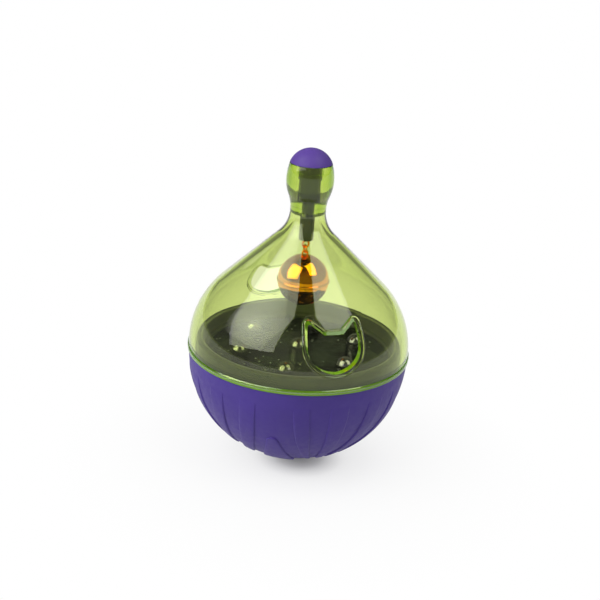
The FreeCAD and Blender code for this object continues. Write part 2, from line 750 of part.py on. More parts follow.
def cat_head(sketch, grow="0"):
    """A plain cat's head: a round face, two rounded ears and a flat brow.

    grow widens it all round; each corner then moves out along the normal that it has there.
    """
    tip = "Dims.ear_tip_radius"
    ear = seam_up("ear_height")
    face_half = [
        ("Dims.jaw_reach", seam_up("jaw_height"), 0.75, -0.66),
        ("Dims.outlet_cheek", seam_up("cheek_height"), 1, 0),
        ("Dims.ear_reach + %s * 0.9" % tip, ear + " - %s" % tip, 0.99, 0.1),
        ("Dims.ear_reach - %s * 0.7" % tip, ear + " - %s * 0.3" % tip, -0.6, 0.8),
        ("Dims.brow_reach", seam_up("brow_height"), -0.32, 1),
    ]
    right = [
        ("%s + (%s) * %s" % (across, grow, aside), "%s + (%s) * %s" % (up, grow, above))
        for across, up, aside, above in face_half
    ]
    left = [("-(%s)" % across, up) for across, up in reversed(right)]
    corners = [("0", "%s - (%s)" % (seam_up("chin_height"), grow))] + right + left
    chin_arc, jaw_arc, cheek_arc, tip_arc = [
        ("%s + %s" % (radius, grow), 1)
        for radius in (
            "Dims.outlet_cheek * 1.2",
            "Dims.outlet_cheek * 0.75",
            "Dims.ear_height * 1.5",
            tip,
        )
    ]
    arcs = {0: chin_arc, 1: jaw_arc, 2: cheek_arc, 3: tip_arc}
    arcs.update({7: tip_arc, 8: cheek_arc, 9: jaw_arc, 10: chin_arc})
    outline(sketch, corners, arcs)


def through_both_sides(feature):
    """Run a pad or pocket of an upright sketch through the front and the back."""
    feature.SideType = "Symmetric"
    return feature


OUTLET_CUT = "(%s * 4)" % DOME_RADIUS
BEAD_DEPTH = "(%s * 3)" % DOME_RADIUS
outlet_face = new_sketch(dome_shell, "outlet_face")
cat_head(outlet_face)
through_both_sides(sunk(dome_shell, "outlets", outlet_face, OUTLET_CUT))

# The bead round each outlet is a raised belt on the dome's face, so a widened outline is
# met with a layer that lies on the dome
bead_blank = new_body("bead_blank")
bead_outside = new_sketch(bead_blank, "bead_outside")
cat_head(bead_outside, "Dims.bead_distance + Dims.bead_width")
through_both_sides(raised(bead_blank, "bead_slab", bead_outside, BEAD_DEPTH))
bead_inside = new_sketch(bead_blank, "bead_inside")
cat_head(bead_inside, "Dims.bead_distance")
through_both_sides(sunk(bead_blank, "bead_window", bead_inside, OUTLET_CUT))

# The layer runs up the belly and on over the shoulder, past the ears' tips
LAYER_OUTER = "(Dims.belly_radius + Dims.bead_rise)"
LAYER_INNER = "(Dims.belly_radius - Dims.dome_wall / 2)"
LAYER_FOOT = "(%s + Dims.belly_start)" % SEAM
LAYER_REACH = "(Dims.bead_width * 8)"


def on_layer(radius, beyond="0"):
    """The end of the belly's arc of a radius, or a place beyond it up the shoulder."""
    return (
        "%s + %s * cos(Dims.shoulder_angle) - %s * sin(Dims.shoulder_angle)"
        % (BELLY_AXIS, radius, beyond),
        "%s + %s * sin(Dims.shoulder_angle) + %s * cos(Dims.shoulder_angle)"
        % (LAYER_FOOT, radius, beyond),
    )


bead_layer = new_body("bead_layer")
turned(
    bead_layer,
    "layer",
    [
        ("%s + %s" % (BELLY_AXIS, LAYER_INNER), LAYER_FOOT),
        ("%s + %s" % (BELLY_AXIS, LAYER_OUTER), LAYER_FOOT),
        on_layer(LAYER_OUTER),
        on_layer(LAYER_OUTER, LAYER_REACH),
        on_layer(LAYER_INNER, LAYER_REACH),
        on_layer(LAYER_INNER),
    ],
    {1: (LAYER_OUTER, 1), 5: (LAYER_INNER, -1)},
)
beads = doc.addObject("Part::Common", "beads")
beads.Base = bead_blank
beads.Tool = bead_layer
dome = fused("dome", [dome_shell, beads])


# Clear knob

SWAY = "(Dims.knob_radius - Dims.neck_radius)"
DRAW_IN = "(Dims.knob_radius - Dims.knob_rim_radius)"
CROWN_RISE = "(Dims.knob_height - Dims.knob_belly_rise)"
S_CURVE = "((Dims.knob_belly_rise ^ 2 + %s ^ 2) / (4 * %s))" % (SWAY, SWAY)
UPPER_CURVE = "((%s ^ 2 + %s ^ 2) / (2 * %s))" % (CROWN_RISE, DRAW_IN, DRAW_IN)
MOUTH_FLOOR = "(%s - Dims.knob_mouth_depth)" % KNOB_RIM
MOUTH = "(Dims.knob_bore + Dims.knob_mouth_step)"
neck_knob = new_body("neck_knob")
turned(
    neck_knob,
    "bulb",
    [
        (SHANK_HOLE, NECK),
        ("Dims.neck_radius", NECK),
        ("Dims.neck_radius + %s / 2" % SWAY, "%s + Dims.knob_belly_rise / 2" % NECK),
        ("Dims.knob_radius", "%s + Dims.knob_belly_rise" % NECK),
        ("Dims.knob_rim_radius", KNOB_RIM),
        (MOUTH, KNOB_RIM),
        (MOUTH, MOUTH_FLOOR),
        ("Dims.knob_bore", MOUTH_FLOOR),
        ("Dims.knob_bore", KNOB_INSIDE),
        (SHANK_HOLE, KNOB_INSIDE),
    ],
    {1: (S_CURVE, -1), 2: (S_CURVE, 1), 3: (UPPER_CURVE, 1)},
)


# Soft cap

CAP_CURVE = "((Dims.knob_rim_radius ^ 2 + Dims.cap_height ^ 2) / (2 * Dims.cap_height))"
BUTTON_FOOT = "(%s + Dims.button_neck_height)" % KNOB_RIM
BUTTON_TOP = "(%s + Dims.button_height)" % BUTTON_FOOT
top_cap = new_body("top_cap")
turned(
    top_cap,
    "crown",
    [
        ("Dims.button_neck_radius + Dims.piece_gap", KNOB_RIM),
        ("Dims.knob_rim_radius", KNOB_RIM),
        ("0", "%s + Dims.cap_height" % KNOB_RIM),
        ("0", "%s + Dims.piece_gap" % BUTTON_TOP),
        ("Dims.button_radius + Dims.piece_gap", "%s + Dims.piece_gap" % BUTTON_TOP),
        ("Dims.button_radius + Dims.piece_gap", "%s - Dims.piece_gap" % BUTTON_FOOT),
        ("Dims.button_neck_radius + Dims.piece_gap", "%s - Dims.piece_gap" % BUTTON_FOOT),
    ],
    {1: (CAP_CURVE, 1)},
)


# Stem, a turned bolt through the knob and the dome's top

HEAD_RADIUS = "(Dims.knob_bore - Dims.stem_play)"
BODY_RADIUS = "(%s - Dims.stem_step)" % HEAD_RADIUS
HEAD_TOP = "(%s - Dims.piece_gap)" % KNOB_RIM
HEAD_FOOT = "(%s - Dims.stem_head_height)" % HEAD_TOP
STEM_TIP = "(%s - Dims.stem_thread_length)" % NECK_UNDERSIDE
neck_stem = new_body("neck_stem")
turned(
    neck_stem,
    "bolt",
    [
        ("0", STEM_TIP),
        ("Dims.stem_shank_radius * 0.7", STEM_TIP),
        ("Dims.stem_shank_radius", "%s + Dims.stem_shank_radius * 0.3" % STEM_TIP),
        ("Dims.stem_shank_radius", KNOB_INSIDE),
        (BODY_RADIUS, KNOB_INSIDE),
        (BODY_RADIUS, HEAD_FOOT),
        (HEAD_RADIUS, HEAD_FOOT),
        (HEAD_RADIUS, HEAD_TOP),
        ("Dims.button_neck_radius", HEAD_TOP),
        ("Dims.button_neck_radius", BUTTON_FOOT),
        ("Dims.button_radius", BUTTON_FOOT),
        ("Dims.button_radius", "%s - Dims.button_height / 2" % BUTTON_TOP),
        ("Dims.button_radius * 0.7", BUTTON_TOP),
        ("0", BUTTON_TOP),
    ],
)


# Rod that carries the bell

SOCKET_FLOOR = "(%s - Dims.piece_gap)" % STEM_TIP
EYE_HOLE = "(Dims.eye_wire_radius + Dims.shank_play)"
EYE_HOLE_TOP = "(%s + Dims.eye_shank_length + Dims.piece_gap)" % ROD_END
bell_rod = new_body("bell_rod")
turned(
    bell_rod,
    "rod",
    [
        (EYE_HOLE, ROD_END),
        ("Dims.rod_radius - Dims.rod_edge_radius", ROD_END),
        ("Dims.rod_radius", "%s + Dims.rod_edge_radius" % ROD_END),
        ("Dims.rod_radius", NECK_UNDERSIDE),
        (SHANK_HOLE, NECK_UNDERSIDE),
        (SHANK_HOLE, SOCKET_FLOOR),
        ("0", SOCKET_FLOOR),
        ("0", EYE_HOLE_TOP),
        (EYE_HOLE, EYE_HOLE_TOP),
    ],
    {1: ("Dims.rod_edge_radius", 1)},
)


# Screw eye and jump ring


def wire_ring(name, ring, wire, height, axis, angle):
    """A ring of wire stood upright by a turn of angle about axis."""
    item = primitive("Part::Torus", name, {"Radius1": ring, "Radius2": wire})
    item.Placement.Rotation = FreeCAD.Rotation(axis, angle)
    item.setExpression("Placement.Base.z", height)
    return item


ACROSS = FreeCAD.Vector(1, 0, 0)
ALONG = FreeCAD.Vector(0, 1, 0)
eye_ring = wire_ring(
    "eye_ring", "Dims.eye_ring_radius", "Dims.eye_wire_radius", EYE_CENTRE, ACROSS, 90
)
eye_shank = primitive(
    "Part::Cylinder",
    "eye_shank",
    {
        "Radius": "Dims.eye_wire_radius",
        "Height": "Dims.eye_shank_length + Dims.piece_gap + Dims.eye_wire_radius",
    },
    z="%s + Dims.eye_ring_radius" % EYE_CENTRE,
)
screw_eye = fused("screw_eye", [eye_ring, eye_shank])

jump_ring = wire_ring(
    "jump_ring", "Dims.link_ring_radius", "Dims.link_wire_radius", LINK_CENTRE, ALONG, 90
)
jump_ring.Label = "jump_ring"


# Bell

BELL_INSIDE = "(Dims.bell_radius - Dims.bell_wall)"
BEAD_EDGE = "sqrt(Dims.bell_radius ^ 2 - Dims.bell_bead_height ^ 2)"


def bell_half(label, up):
    """One pressed half of the bell; up is 1 for the upper half and -1 for the lower."""
    body = new_body(label)
    turned(
        body,
        "shell",
        [
            (BELL_INSIDE, BELL_CENTRE),
            ("Dims.bell_radius + Dims.bell_bead", BELL_CENTRE),
            (
                "Dims.bell_radius + Dims.bell_bead",
                "%s + Dims.bell_bead_height * %d" % (BELL_CENTRE, up),
            ),
            (BEAD_EDGE, "%s + Dims.bell_bead_height * %d" % (BELL_CENTRE, up)),
            ("0", "%s + Dims.bell_radius * %d" % (BELL_CENTRE, up)),
            ("0", "%s + %s * %d" % (BELL_CENTRE, BELL_INSIDE, up)),
        ],
        {3: ("Dims.bell_radius", up), 5: (BELL_INSIDE, -up)},
    )
    return body


LOOP_HOLE = "(Dims.loop_wire_radius + Dims.shank_play)"
bell_upper = bell_half("bell_upper", 1)
leg_holes = new_sketch(bell_upper, "leg_holes", "XY_Plane", height=BELL_TOP)
circle_in(leg_holes, "Dims.loop_ring_radius", "0", LOOP_HOLE)
circle_in(leg_holes, "-Dims.loop_ring_radius", "0", LOOP_HOLE)
sunk(bell_upper, "leg_ways", leg_holes, "Dims.bell_radius / 2")

bell_lower = bell_half("bell_lower", -1)
SLOT_END = "(Dims.bell_radius + Dims.bell_bead)"
slot_plan = new_sketch(
    bell_lower,
    "slot_plan",
    "XY_Plane",
    height="%s - Dims.slot_hole_drop" % BELL_CENTRE,
    turn="Dims.slot_turn * 1 deg",
)
outline(
    slot_plan,
    [
        ("-Dims.slot_width / 2", "-" + SLOT_END),
        ("Dims.slot_width / 2", "-" + SLOT_END),
        ("Dims.slot_width / 2", SLOT_END),
        ("-Dims.slot_width / 2", SLOT_END),
    ],
)
sunk(bell_lower, "slot", slot_plan, "Dims.bell_radius")
slot_ends = new_sketch(bell_lower, "slot_ends")
slot_ends.AttachmentOffset = FreeCAD.Placement(
    FreeCAD.Vector(), FreeCAD.Rotation(ALONG, 1)
)
slot_ends.setExpression("AttachmentOffset.Rotation.Angle", "Dims.slot_turn * 1 deg")
circle_in(slot_ends, "0", "%s - Dims.slot_hole_drop" % BELL_CENTRE, "Dims.slot_hole_radius")
end_holes = sunk(bell_lower, "end_holes", slot_ends, "Dims.bell_radius * 4")
end_holes.SideType = "Symmetric"

loop_arch = wire_ring(
    "loop_arch", "Dims.loop_ring_radius", "Dims.loop_wire_radius", LOOP_CENTRE, ACROSS, 90
)
loop_arch.Angle3 = 180
LEG_FOOT = "(%s + sqrt(%s ^ 2 - (Dims.loop_ring_radius + Dims.loop_foot_radius) ^ 2))" % (
    BELL_CENTRE,
    BELL_INSIDE,
)
loop_parts = [loop_arch]
for side, name in ((-1, "left"), (1, "right")):
    across = "Dims.loop_ring_radius * %d" % side
    leg = primitive(
        "Part::Cylinder",
        "loop_leg_" + name,
        {"Radius": "Dims.loop_wire_radius", "Height": "%s - %s" % (LOOP_CENTRE, LEG_FOOT)},
        x=across,
        z=LEG_FOOT,
    )
    foot = primitive(
        "Part::Cylinder",
        "loop_foot_" + name,
        {"Radius": "Dims.loop_foot_radius * 0.8", "Height": "Dims.loop_foot_height"},
        x=across,
        z="%s - Dims.loop_foot_height" % LEG_FOOT,
    )
    loop_parts += [leg, foot]
bell_loop = fused("bell_loop", loop_parts)

bell_pea = primitive(
    "Part::Sphere",
    "bell_pea",
    {"Radius": "Dims.pea_radius"},
    z="%s - %s + Dims.pea_radius + Dims.piece_gap" % (BELL_CENTRE, BELL_INSIDE),
)
bell_pea.Label = "bell_pea"


# Check every object, then write each piece

PIECES = [
    base_cover,
    base_shell,
    counterweight,
    weight_washer,
    weight_screw,
    feeding_tray,
    tray_screws,
    seal_ring,
    dome,
    neck_knob,
    top_cap,
    neck_stem,
    bell_rod,
    screw_eye,
    jump_ring,
    bell_loop,
    bell_upper,
    bell_lower,
    bell_pea,
]

doc.recompute()
for item in doc.Objects:
    if "Invalid" in item.State or "Error" in item.State:
        raise RuntimeError("%s could not be built: %s" % (item.Label, item.State))
for piece in PIECES:
    if piece.Shape.isNull() or not piece.Shape.isValid() or not piece.Shape.Solids:
        raise RuntimeError("%s has no sound solid" % piece.Label)

os.makedirs("parts", exist_ok=True)
for piece in PIECES:
    piece.Shape.exportStep("parts/%s.step" % piece.Label)
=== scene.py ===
"""Roly-poly treat dispenser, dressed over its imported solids.

Everything is in metres in the part's own frame: the origin is the middle of the foot, +Z is
up and the two outlets face -Y and +Y.
"""

import math

import bmesh
import bpy
from bpy.props import FloatProperty, FloatVectorProperty, IntProperty, PointerProperty
from mathutils import Matrix, Quaternion, Vector


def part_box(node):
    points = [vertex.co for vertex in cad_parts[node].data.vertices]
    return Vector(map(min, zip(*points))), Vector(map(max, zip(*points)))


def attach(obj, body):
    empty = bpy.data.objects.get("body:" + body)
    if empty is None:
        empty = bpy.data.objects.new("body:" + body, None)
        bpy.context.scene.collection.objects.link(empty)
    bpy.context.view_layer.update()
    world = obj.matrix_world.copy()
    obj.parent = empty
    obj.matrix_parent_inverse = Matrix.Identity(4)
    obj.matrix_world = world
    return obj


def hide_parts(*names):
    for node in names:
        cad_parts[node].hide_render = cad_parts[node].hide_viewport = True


bl_info = {
    "name": "Treat dispenser",
    "version": (1, 0, 0),
    "blender": (4, 5, 0),
    "location": "View3D > Sidebar > Treat",
    "description": "Dresses the roly-poly treat dispenser and sets its studio",
    "category": "Object",
}

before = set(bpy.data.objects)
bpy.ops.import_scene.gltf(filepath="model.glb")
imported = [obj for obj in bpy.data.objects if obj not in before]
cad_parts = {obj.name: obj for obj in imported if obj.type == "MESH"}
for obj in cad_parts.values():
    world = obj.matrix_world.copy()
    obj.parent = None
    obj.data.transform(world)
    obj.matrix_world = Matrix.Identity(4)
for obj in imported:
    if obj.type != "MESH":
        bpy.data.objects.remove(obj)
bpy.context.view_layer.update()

# Places that the solids give; the seam is where the dome meets the ball
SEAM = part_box("base_cover")[1].z
BALL_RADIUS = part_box("base_cover")[1].x
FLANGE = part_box("feeding_tray")[1].x
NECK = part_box("neck_knob")[0].z
KNOB_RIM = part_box("neck_knob")[1].z
CAP_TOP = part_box("top_cap")[1].z
BELL_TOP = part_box("bell_upper")[1].z
BELL_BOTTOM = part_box("bell_lower")[0].z
BELL_MIDDLE = (BELL_TOP + BELL_BOTTOM) / 2
BELL_RADIUS = (BELL_TOP - BELL_BOTTOM) / 2
# New pieces whose faces would lie on another piece stay this far off it
HAIR = 0.00003
# Vertices this close are merged, and a corner is found within the second distance
MERGE = 0.000002
NEARBY = 0.00002


# Sizes and colours that a user would change


def length(name, description, default):
    return FloatProperty(
        name=name, description=description, default=default, unit="LENGTH", precision=5
    )


def angle(name, description, degrees):
    return FloatProperty(
        name=name, description=description, default=math.radians(degrees), unit="ROTATION"
    )


def colour(name, description, default):
    return FloatVectorProperty(
        name=name, description=description, default=default, subtype="COLOR", min=0, max=1
    )


def watts(name, default):
    return FloatProperty(name=name, description="Power in watts", default=default)


class BaseSettings(bpy.types.PropertyGroup):
    wall: length("Wall", "Wall of the soft cover", 0.0024)
    foot: length("Foot", "Radius of the small flat", 0.006)
    relief: length("Relief", "Height of the tongues", 0.0007)
    purple: colour("Purple", "Colour of the soft cover", (0.05, 0.026, 0.215))


class TraySettings(bpy.types.PropertyGroup):
    floor_drop: length("Floor drop", "From the seam down to the floor", 0.0015)
    floor_wall: length("Floor wall", "Thickness of the floor", 0.002)
    ring_rise: length("Ring rise", "Height of the ring over the seam", 0.0069)
    ring_inside: length("Ring inside", "Inner radius of the ring", 0.045)
    ring_outside: length("Ring outside", "Outer radius of the ring", 0.0482)
    corner: length("Corner", "Rounding between the floor and the ring", 0.0025)
    bump_radius: length("Bump radius", "Radius of the bumps", 0.00465)
    bump_rise: length("Bump rise", "Height of the bumps", 0.0071)
    bump_circle: length("Bump circle", "Circle of the outer bumps", 0.029)
    bump_count: IntProperty(name="Bumps", description="Bumps on the circle", default=6)
    black: colour("Black", "Colour of the tray", (0.003, 0.003, 0.004))


class DomeSettings(bpy.types.PropertyGroup):
    radius: length("Radius", "Outside of the dome above its lip", 0.052)
    wall: length("Wall", "Wall of the dome", 0.0028)
    lip: length("Lip", "How far the lip stands out", 0.0005)
    lip_height: length("Lip height", "Height of the lip", 0.0019)
    foot_gap: length("Foot gap", "Gap between the dome and the ball", 0.00015)
    foot_inside: length("Foot inside", "Inner radius of the foot round the seal", 0.0507)
    foot_depth: length("Foot depth", "Height of the room for the seal", 0.00095)
    belly_start: length("Belly start", "Where the belly begins to round in", 0.003)
    belly: length("Belly", "Radius of the belly's section", 0.041)
    shoulder: angle("Shoulder", "Slope of the shoulder from the upright", 46)
    neck: length("Neck", "Outside of the neck", 0.0082)
    sweep: length("Sweep", "Radius of the hollow sweep to the neck", 0.0165)
    crown: length("Crown", "Thickness of the dome's top", 0.002)
    hole: length("Hole", "Hole for the stem", 0.0029)
    bead: length("Bead", "Radius of the bead round each outlet", 0.0006)
    bead_way: length("Bead distance", "From the outlet's edge to its bead", 0.0017)
    green: colour("Green", "Tint of the clear plastic", (0.77, 0.857, 0.23))
    dye: FloatProperty(name="Dye", description="Strength of the tint per metre", default=300)
    # Painted glow: the colour painted on the lip and the outlets' faces for the light that
    # gathers there
    edges: colour("Edges", "Colour that gathers at the lip and the outlets", (0.2, 0.4, 0.01))


class KnobSettings(bpy.types.PropertyGroup):
    widest: length("Widest", "Largest radius of the knob", 0.0109)
    belly_rise: length("Belly rise", "From the neck to the widest place", 0.0138)
    rim: length("Rim", "Outside of the rim", 0.00975)
    bore: length("Bore", "Bore of the knob", 0.0059)
    mouth: length("Mouth", "Mouth of the bore", 0.0063)
    mouth_depth: length("Mouth depth", "Depth of the mouth", 0.004)
    floor: length("Floor", "Solid lower end", 0.0052)
    lilac: colour("Lilac", "Colour of the soft cap", (0.07, 0.032, 0.225))


class BellSettings(bpy.types.PropertyGroup):
    wall: length("Wall", "Wall of the bell", 0.0006)
    bead: length("Bead", "How far the bead at the seam stands out", 0.00035)
    bead_height: length("Bead height", "Height of the bead on each half", 0.0006)
    slot: length("Slot", "Width of the slot", 0.0018)
    hole: length("Hole", "Radius of the round holes", 0.0021)
    hole_drop: length("Hole drop", "From the bell's middle to the holes", 0.0032)
    slot_turn: angle("Slot turn", "Turn of the slot about the upright", 18)
    leg_hole: length("Leg hole", "Radius of the holes for the loop's legs", 0.0005)
    leg_way: length("Leg distance", "From the middle to those holes", 0.0013)
    gold: colour("Gold", "Colour of the plating", (0.98, 0.38, 0.008))


class StageSettings(bpy.types.PropertyGroup):
    left: watts("Left box", 5.5)
    right: watts("Right box", 4.0)
    bulb: watts("Left bulb", 1.0)


# Drawing in edit mode


def deselect_all():
    if bpy.context.mode != "OBJECT":
        bpy.ops.object.mode_set(mode="OBJECT")
    bpy.ops.object.select_all(action="DESELECT")


def make_active(piece):
    deselect_all()
    piece.select_set(True)
    bpy.context.view_layer.objects.active = piece


def placed(add, **sizes):
    """A primitive added at its size and place, with its place in its mesh."""
    deselect_all()
    add(**sizes)
    bpy.ops.object.transform_apply(location=True, rotation=True, scale=True)
    return bpy.context.object


def turn_outwards():
    """Turn the faces of the mesh being edited outwards and leave edit mode."""
    bpy.ops.mesh.select_all(action="SELECT")
    bpy.ops.mesh.normals_make_consistent(inside=False)
    bpy.ops.object.mode_set(mode="OBJECT")


class Pencil:
    """Draws a section or an outline in the upright XZ plane, one vertex after another."""

    def __init__(self, name, across, up, depth=0.0):
        """Start with a small plane that is merged into the first vertex."""
        self.here = Vector((across, depth, up))
        self.piece = placed(bpy.ops.mesh.primitive_plane_add, size=0.001, location=self.here)
        self.piece.name = name
        self.piece.data.name = name
        bpy.ops.object.mode_set(mode="EDIT")
        bpy.ops.mesh.select_mode(type="VERT")
        bpy.ops.mesh.select_all(action="SELECT")
        bpy.ops.mesh.merge(type="CENTER")

    def line(self, across, up, steps=1):
        there = Vector((across, self.here.y, up))
        for _ in range(steps):
            bpy.ops.mesh.extrude_region_move(
                TRANSFORM_OT_translate={"value": (there - self.here) / steps}
            )
        self.here = there
        return self

    def arc(self, across, up, radius, turn, steps):
        """An arc to the point; turn is 1 for anticlockwise as seen from the front."""
        there = Vector((across, self.here.y, up))
        chord = there - self.here
        left = Vector((-chord.z, 0, chord.x)).normalized()
        rise = math.sqrt(max(radius ** 2 - (chord.length / 2) ** 2, 0))
        centre = (self.here + there) / 2 + left * rise * turn
        sweep = 2 * math.asin(min(1, chord.length / 2 / radius))
        bpy.ops.mesh.spin(
            steps=steps, angle=sweep, center=centre, axis=(0, turn, 0), dupli=False
        )
        self.here = there
        return self

    def close(self):
        """Merge what meets, so that the last point joins the first."""
        bpy.ops.mesh.select_all(action="SELECT")
        bpy.ops.mesh.remove_doubles(threshold=MERGE)
        return self

    def round_off(self, corners, radius, segments=3):
        """Round the corners that lie at the given places."""
        mesh = bmesh.from_edit_mesh(self.piece.data)
        for vert in mesh.verts:
            vert.select = any(
                math.hypot(vert.co.x - across, vert.co.z - up) < NEARBY
                for across, up in corners
            )
        mesh.select_flush(True)
        bmesh.update_edit_mesh(self.piece.data)
        bpy.ops.mesh.bevel(offset=radius, segments=segments, affect="VERTICES")
        return self

    def revolve(self, steps):
        """Turn the section about the upright axis and close it."""
        bpy.ops.mesh.select_all(action="SELECT")
        bpy.ops.mesh.spin(
            steps=steps, angle=2 * math.pi, center=(0, 0, 0), axis=(0, 0, 1), dupli=False
        )
        self.close()
        bpy.ops.mesh.delete_loose(use_verts=True, use_edges=True, use_faces=False)
        turn_outwards()
        return self.piece

    def thicken(self, depth):
        """Fill the outline and run it back by a depth."""
        self.close()
        bpy.ops.mesh.edge_face_add()
        bpy.ops.mesh.extrude_region_move(TRANSFORM_OT_translate={"value": (0, depth, 0)})
        turn_outwards()
        return self.piece


def apply_all(piece):
    make_active(piece)
    for modifier in list(piece.modifiers):
        bpy.ops.object.modifier_apply(modifier=modifier.name)


def combine(piece, other, operation):
    """Cut another mesh from the piece, or join it on, and drop that mesh."""
    modifier = piece.modifiers.new(operation.lower(), "BOOLEAN")
    modifier.operation = operation
    modifier.solver = "EXACT"
    modifier.object = other
    apply_all(piece)
    bpy.data.objects.remove(other)


def copied(piece, place):
    """A copy of the piece, with its own mesh, moved by a vector."""
    twin = piece.copy()
    twin.data = piece.data.copy()
    twin.data.transform(Matrix.Translation(place))
    bpy.context.collection.objects.link(twin)
    return twin


def smooth(piece, degrees=35):
    make_active(piece)
    bpy.ops.object.shade_smooth_by_angle(angle=math.radians(degrees))


def finish_piece(piece, body, slot, material, *nodes):
    piece.data.materials.clear()
    piece.data.materials.append(material)
    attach(piece, body)
    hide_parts(*nodes)


def dress(material, *nodes):
    """Give solids that stay as they are a better material."""
    for node in nodes:
        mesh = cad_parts[node].data
        mesh.materials.clear()
        mesh.materials.append(material)


# Materials


def new_material(name, base, **sockets):
    """A Principled material with plain values; what varies is linked afterwards."""
    material = bpy.data.materials.new(name)
    material.use_nodes = True
    shader = material.node_tree.nodes["Principled BSDF"]
    shader.inputs["Base Color"].default_value = (*base, 1)
    for socket, value in sockets.items():
        shader.inputs[socket.replace("_", " ")].default_value = value
    return material, material.node_tree, shader


def noise(tree, scale, detail=4.0, stretch=(1, 1, 1)):
    """Noise on Object coordinates, with scale in features per metre."""
    place = tree.nodes.new("ShaderNodeTexCoord")
    mapping = tree.nodes.new("ShaderNodeMapping")
    mapping.inputs["Scale"].default_value = stretch
    texture = tree.nodes.new("ShaderNodeTexNoise")
    texture.inputs["Scale"].default_value = scale
    texture.inputs["Detail"].default_value = detail
    tree.links.new(place.outputs["Object"], mapping.inputs["Vector"])
    tree.links.new(mapping.outputs["Vector"], texture.inputs["Vector"])
    return texture.outputs["Fac"]


def coordinates(tree, kind):
    """The X, Y and Z of one kind of texture coordinate."""
    place = tree.nodes.new("ShaderNodeTexCoord")
    parts = tree.nodes.new("ShaderNodeSeparateXYZ")
    tree.links.new(place.outputs[kind], parts.inputs["Vector"])
    return parts.outputs


def spread(tree, fac, low, high, from_low=0.3, from_high=0.7):
    """Stretch a noise to the range low to high."""
    ramp = tree.nodes.new("ShaderNodeMapRange")
    ramp.inputs["From Min"].default_value = from_low
    ramp.inputs["From Max"].default_value = from_high
    ramp.inputs["To Min"].default_value = low
    ramp.inputs["To Max"].default_value = high
    tree.links.new(fac, ramp.inputs["Value"])
    return ramp.outputs["Result"]


def tint(tree, fac, first, second):
    """Mix two colours, each given as plain values or as another node's output."""
    blend = tree.nodes.new("ShaderNodeMix")
    blend.data_type = "RGBA"
    for socket, ingredient in (("A", first), ("B", second)):
        if isinstance(ingredient, bpy.types.NodeSocket):
            tree.links.new(ingredient, blend.inputs[socket])
        else:
            blend.inputs[socket].default_value = (*ingredient, 1)
    tree.links.new(fac, blend.inputs["Factor"])
    return blend.outputs["Result"]


def calculate(tree, operation, first, second):
    node = tree.nodes.new("ShaderNodeMath")
    node.operation = operation
    tree.links.new(first, node.inputs[0])
    tree.links.new(second, node.inputs[1])
    return node.outputs["Value"]


def band(tree, value, low, high, soft):
    """1 where the value lies between low and high, with soft borders."""
    above = spread(tree, value, 0.0, 1.0, low - soft, low)
    below = spread(tree, value, 1.0, 0.0, high, high + soft)
    return calculate(tree, "MULTIPLY", above, below)


def surface(tree, fac, first, second):
    """Make the surface a mix of two shaders."""
    mix = tree.nodes.new("ShaderNodeMixShader")
    tree.links.new(fac, mix.inputs["Fac"])
    tree.links.new(first, mix.inputs[1])
    tree.links.new(second, mix.inputs[2])
    tree.links.new(mix.outputs["Shader"], tree.nodes["Material Output"].inputs["Surface"])


def vary_colour(tree, shader, height, first, second):
    """Let a noise carry the surface from one colour to the other."""
    blend = tint(tree, spread(tree, height, 0, 1), first, second)
    tree.links.new(blend, shader.inputs["Base Color"])


def vary_roughness(tree, shader, height, low, high):
    tree.links.new(spread(tree, height, low, high), shader.inputs["Roughness"])


def bump(tree, shader, height, distance, strength=1.0):
    node = tree.nodes.new("ShaderNodeBump")
    node.inputs["Distance"].default_value = distance
    node.inputs["Strength"].default_value = strength
    tree.links.new(height, node.inputs["Height"])
    tree.links.new(node.outputs["Normal"], shader.inputs["Normal"])


def soft_rubber(name, base):
    """Matte soft-touch rubber with a fine grain and slightly handled patches."""
    material, tree, shader = new_material(name, base, Specular_IOR_Level=0.3)
    shader.inputs["Sheen Weight"].default_value = 0.05
    shader.inputs["Sheen Roughness"].default_value = 0.6
    shader.inputs["Sheen Tint"].default_value = (0.62, 0.55, 0.95, 1)
    darker = tuple(c * 0.93 for c in base)
    lighter = tuple(min(1, c * 1.07) for c in base)
    vary_colour(tree, shader, noise(tree, 45, 3), darker, lighter)
    vary_roughness(tree, shader, noise(tree, 400, 2), 0.5, 0.62)
    bump(tree, shader, noise(tree, 3200, 3), 0.00004)
    return material


def gloss_black(name, base):
    """Polished black plastic with faint rubs."""
    material, tree, shader = new_material(name, base, IOR=1.5)
    vary_roughness(tree, shader, noise(tree, 260, 5), 0.04, 0.14)
    bump(tree, shader, noise(tree, 60, 2), 0.00006, 0.5)
    return material


# Out from where the tray's ring begins to look rubbed: where the rub is full, and the painted
# highlight on its inner top edge, from and to, with how soft that is
RUB_FULL = 0.0012
RING_HIGHLIGHT = (0.0022, 0.0029)
RING_HIGHLIGHT_SOFT = 0.0003


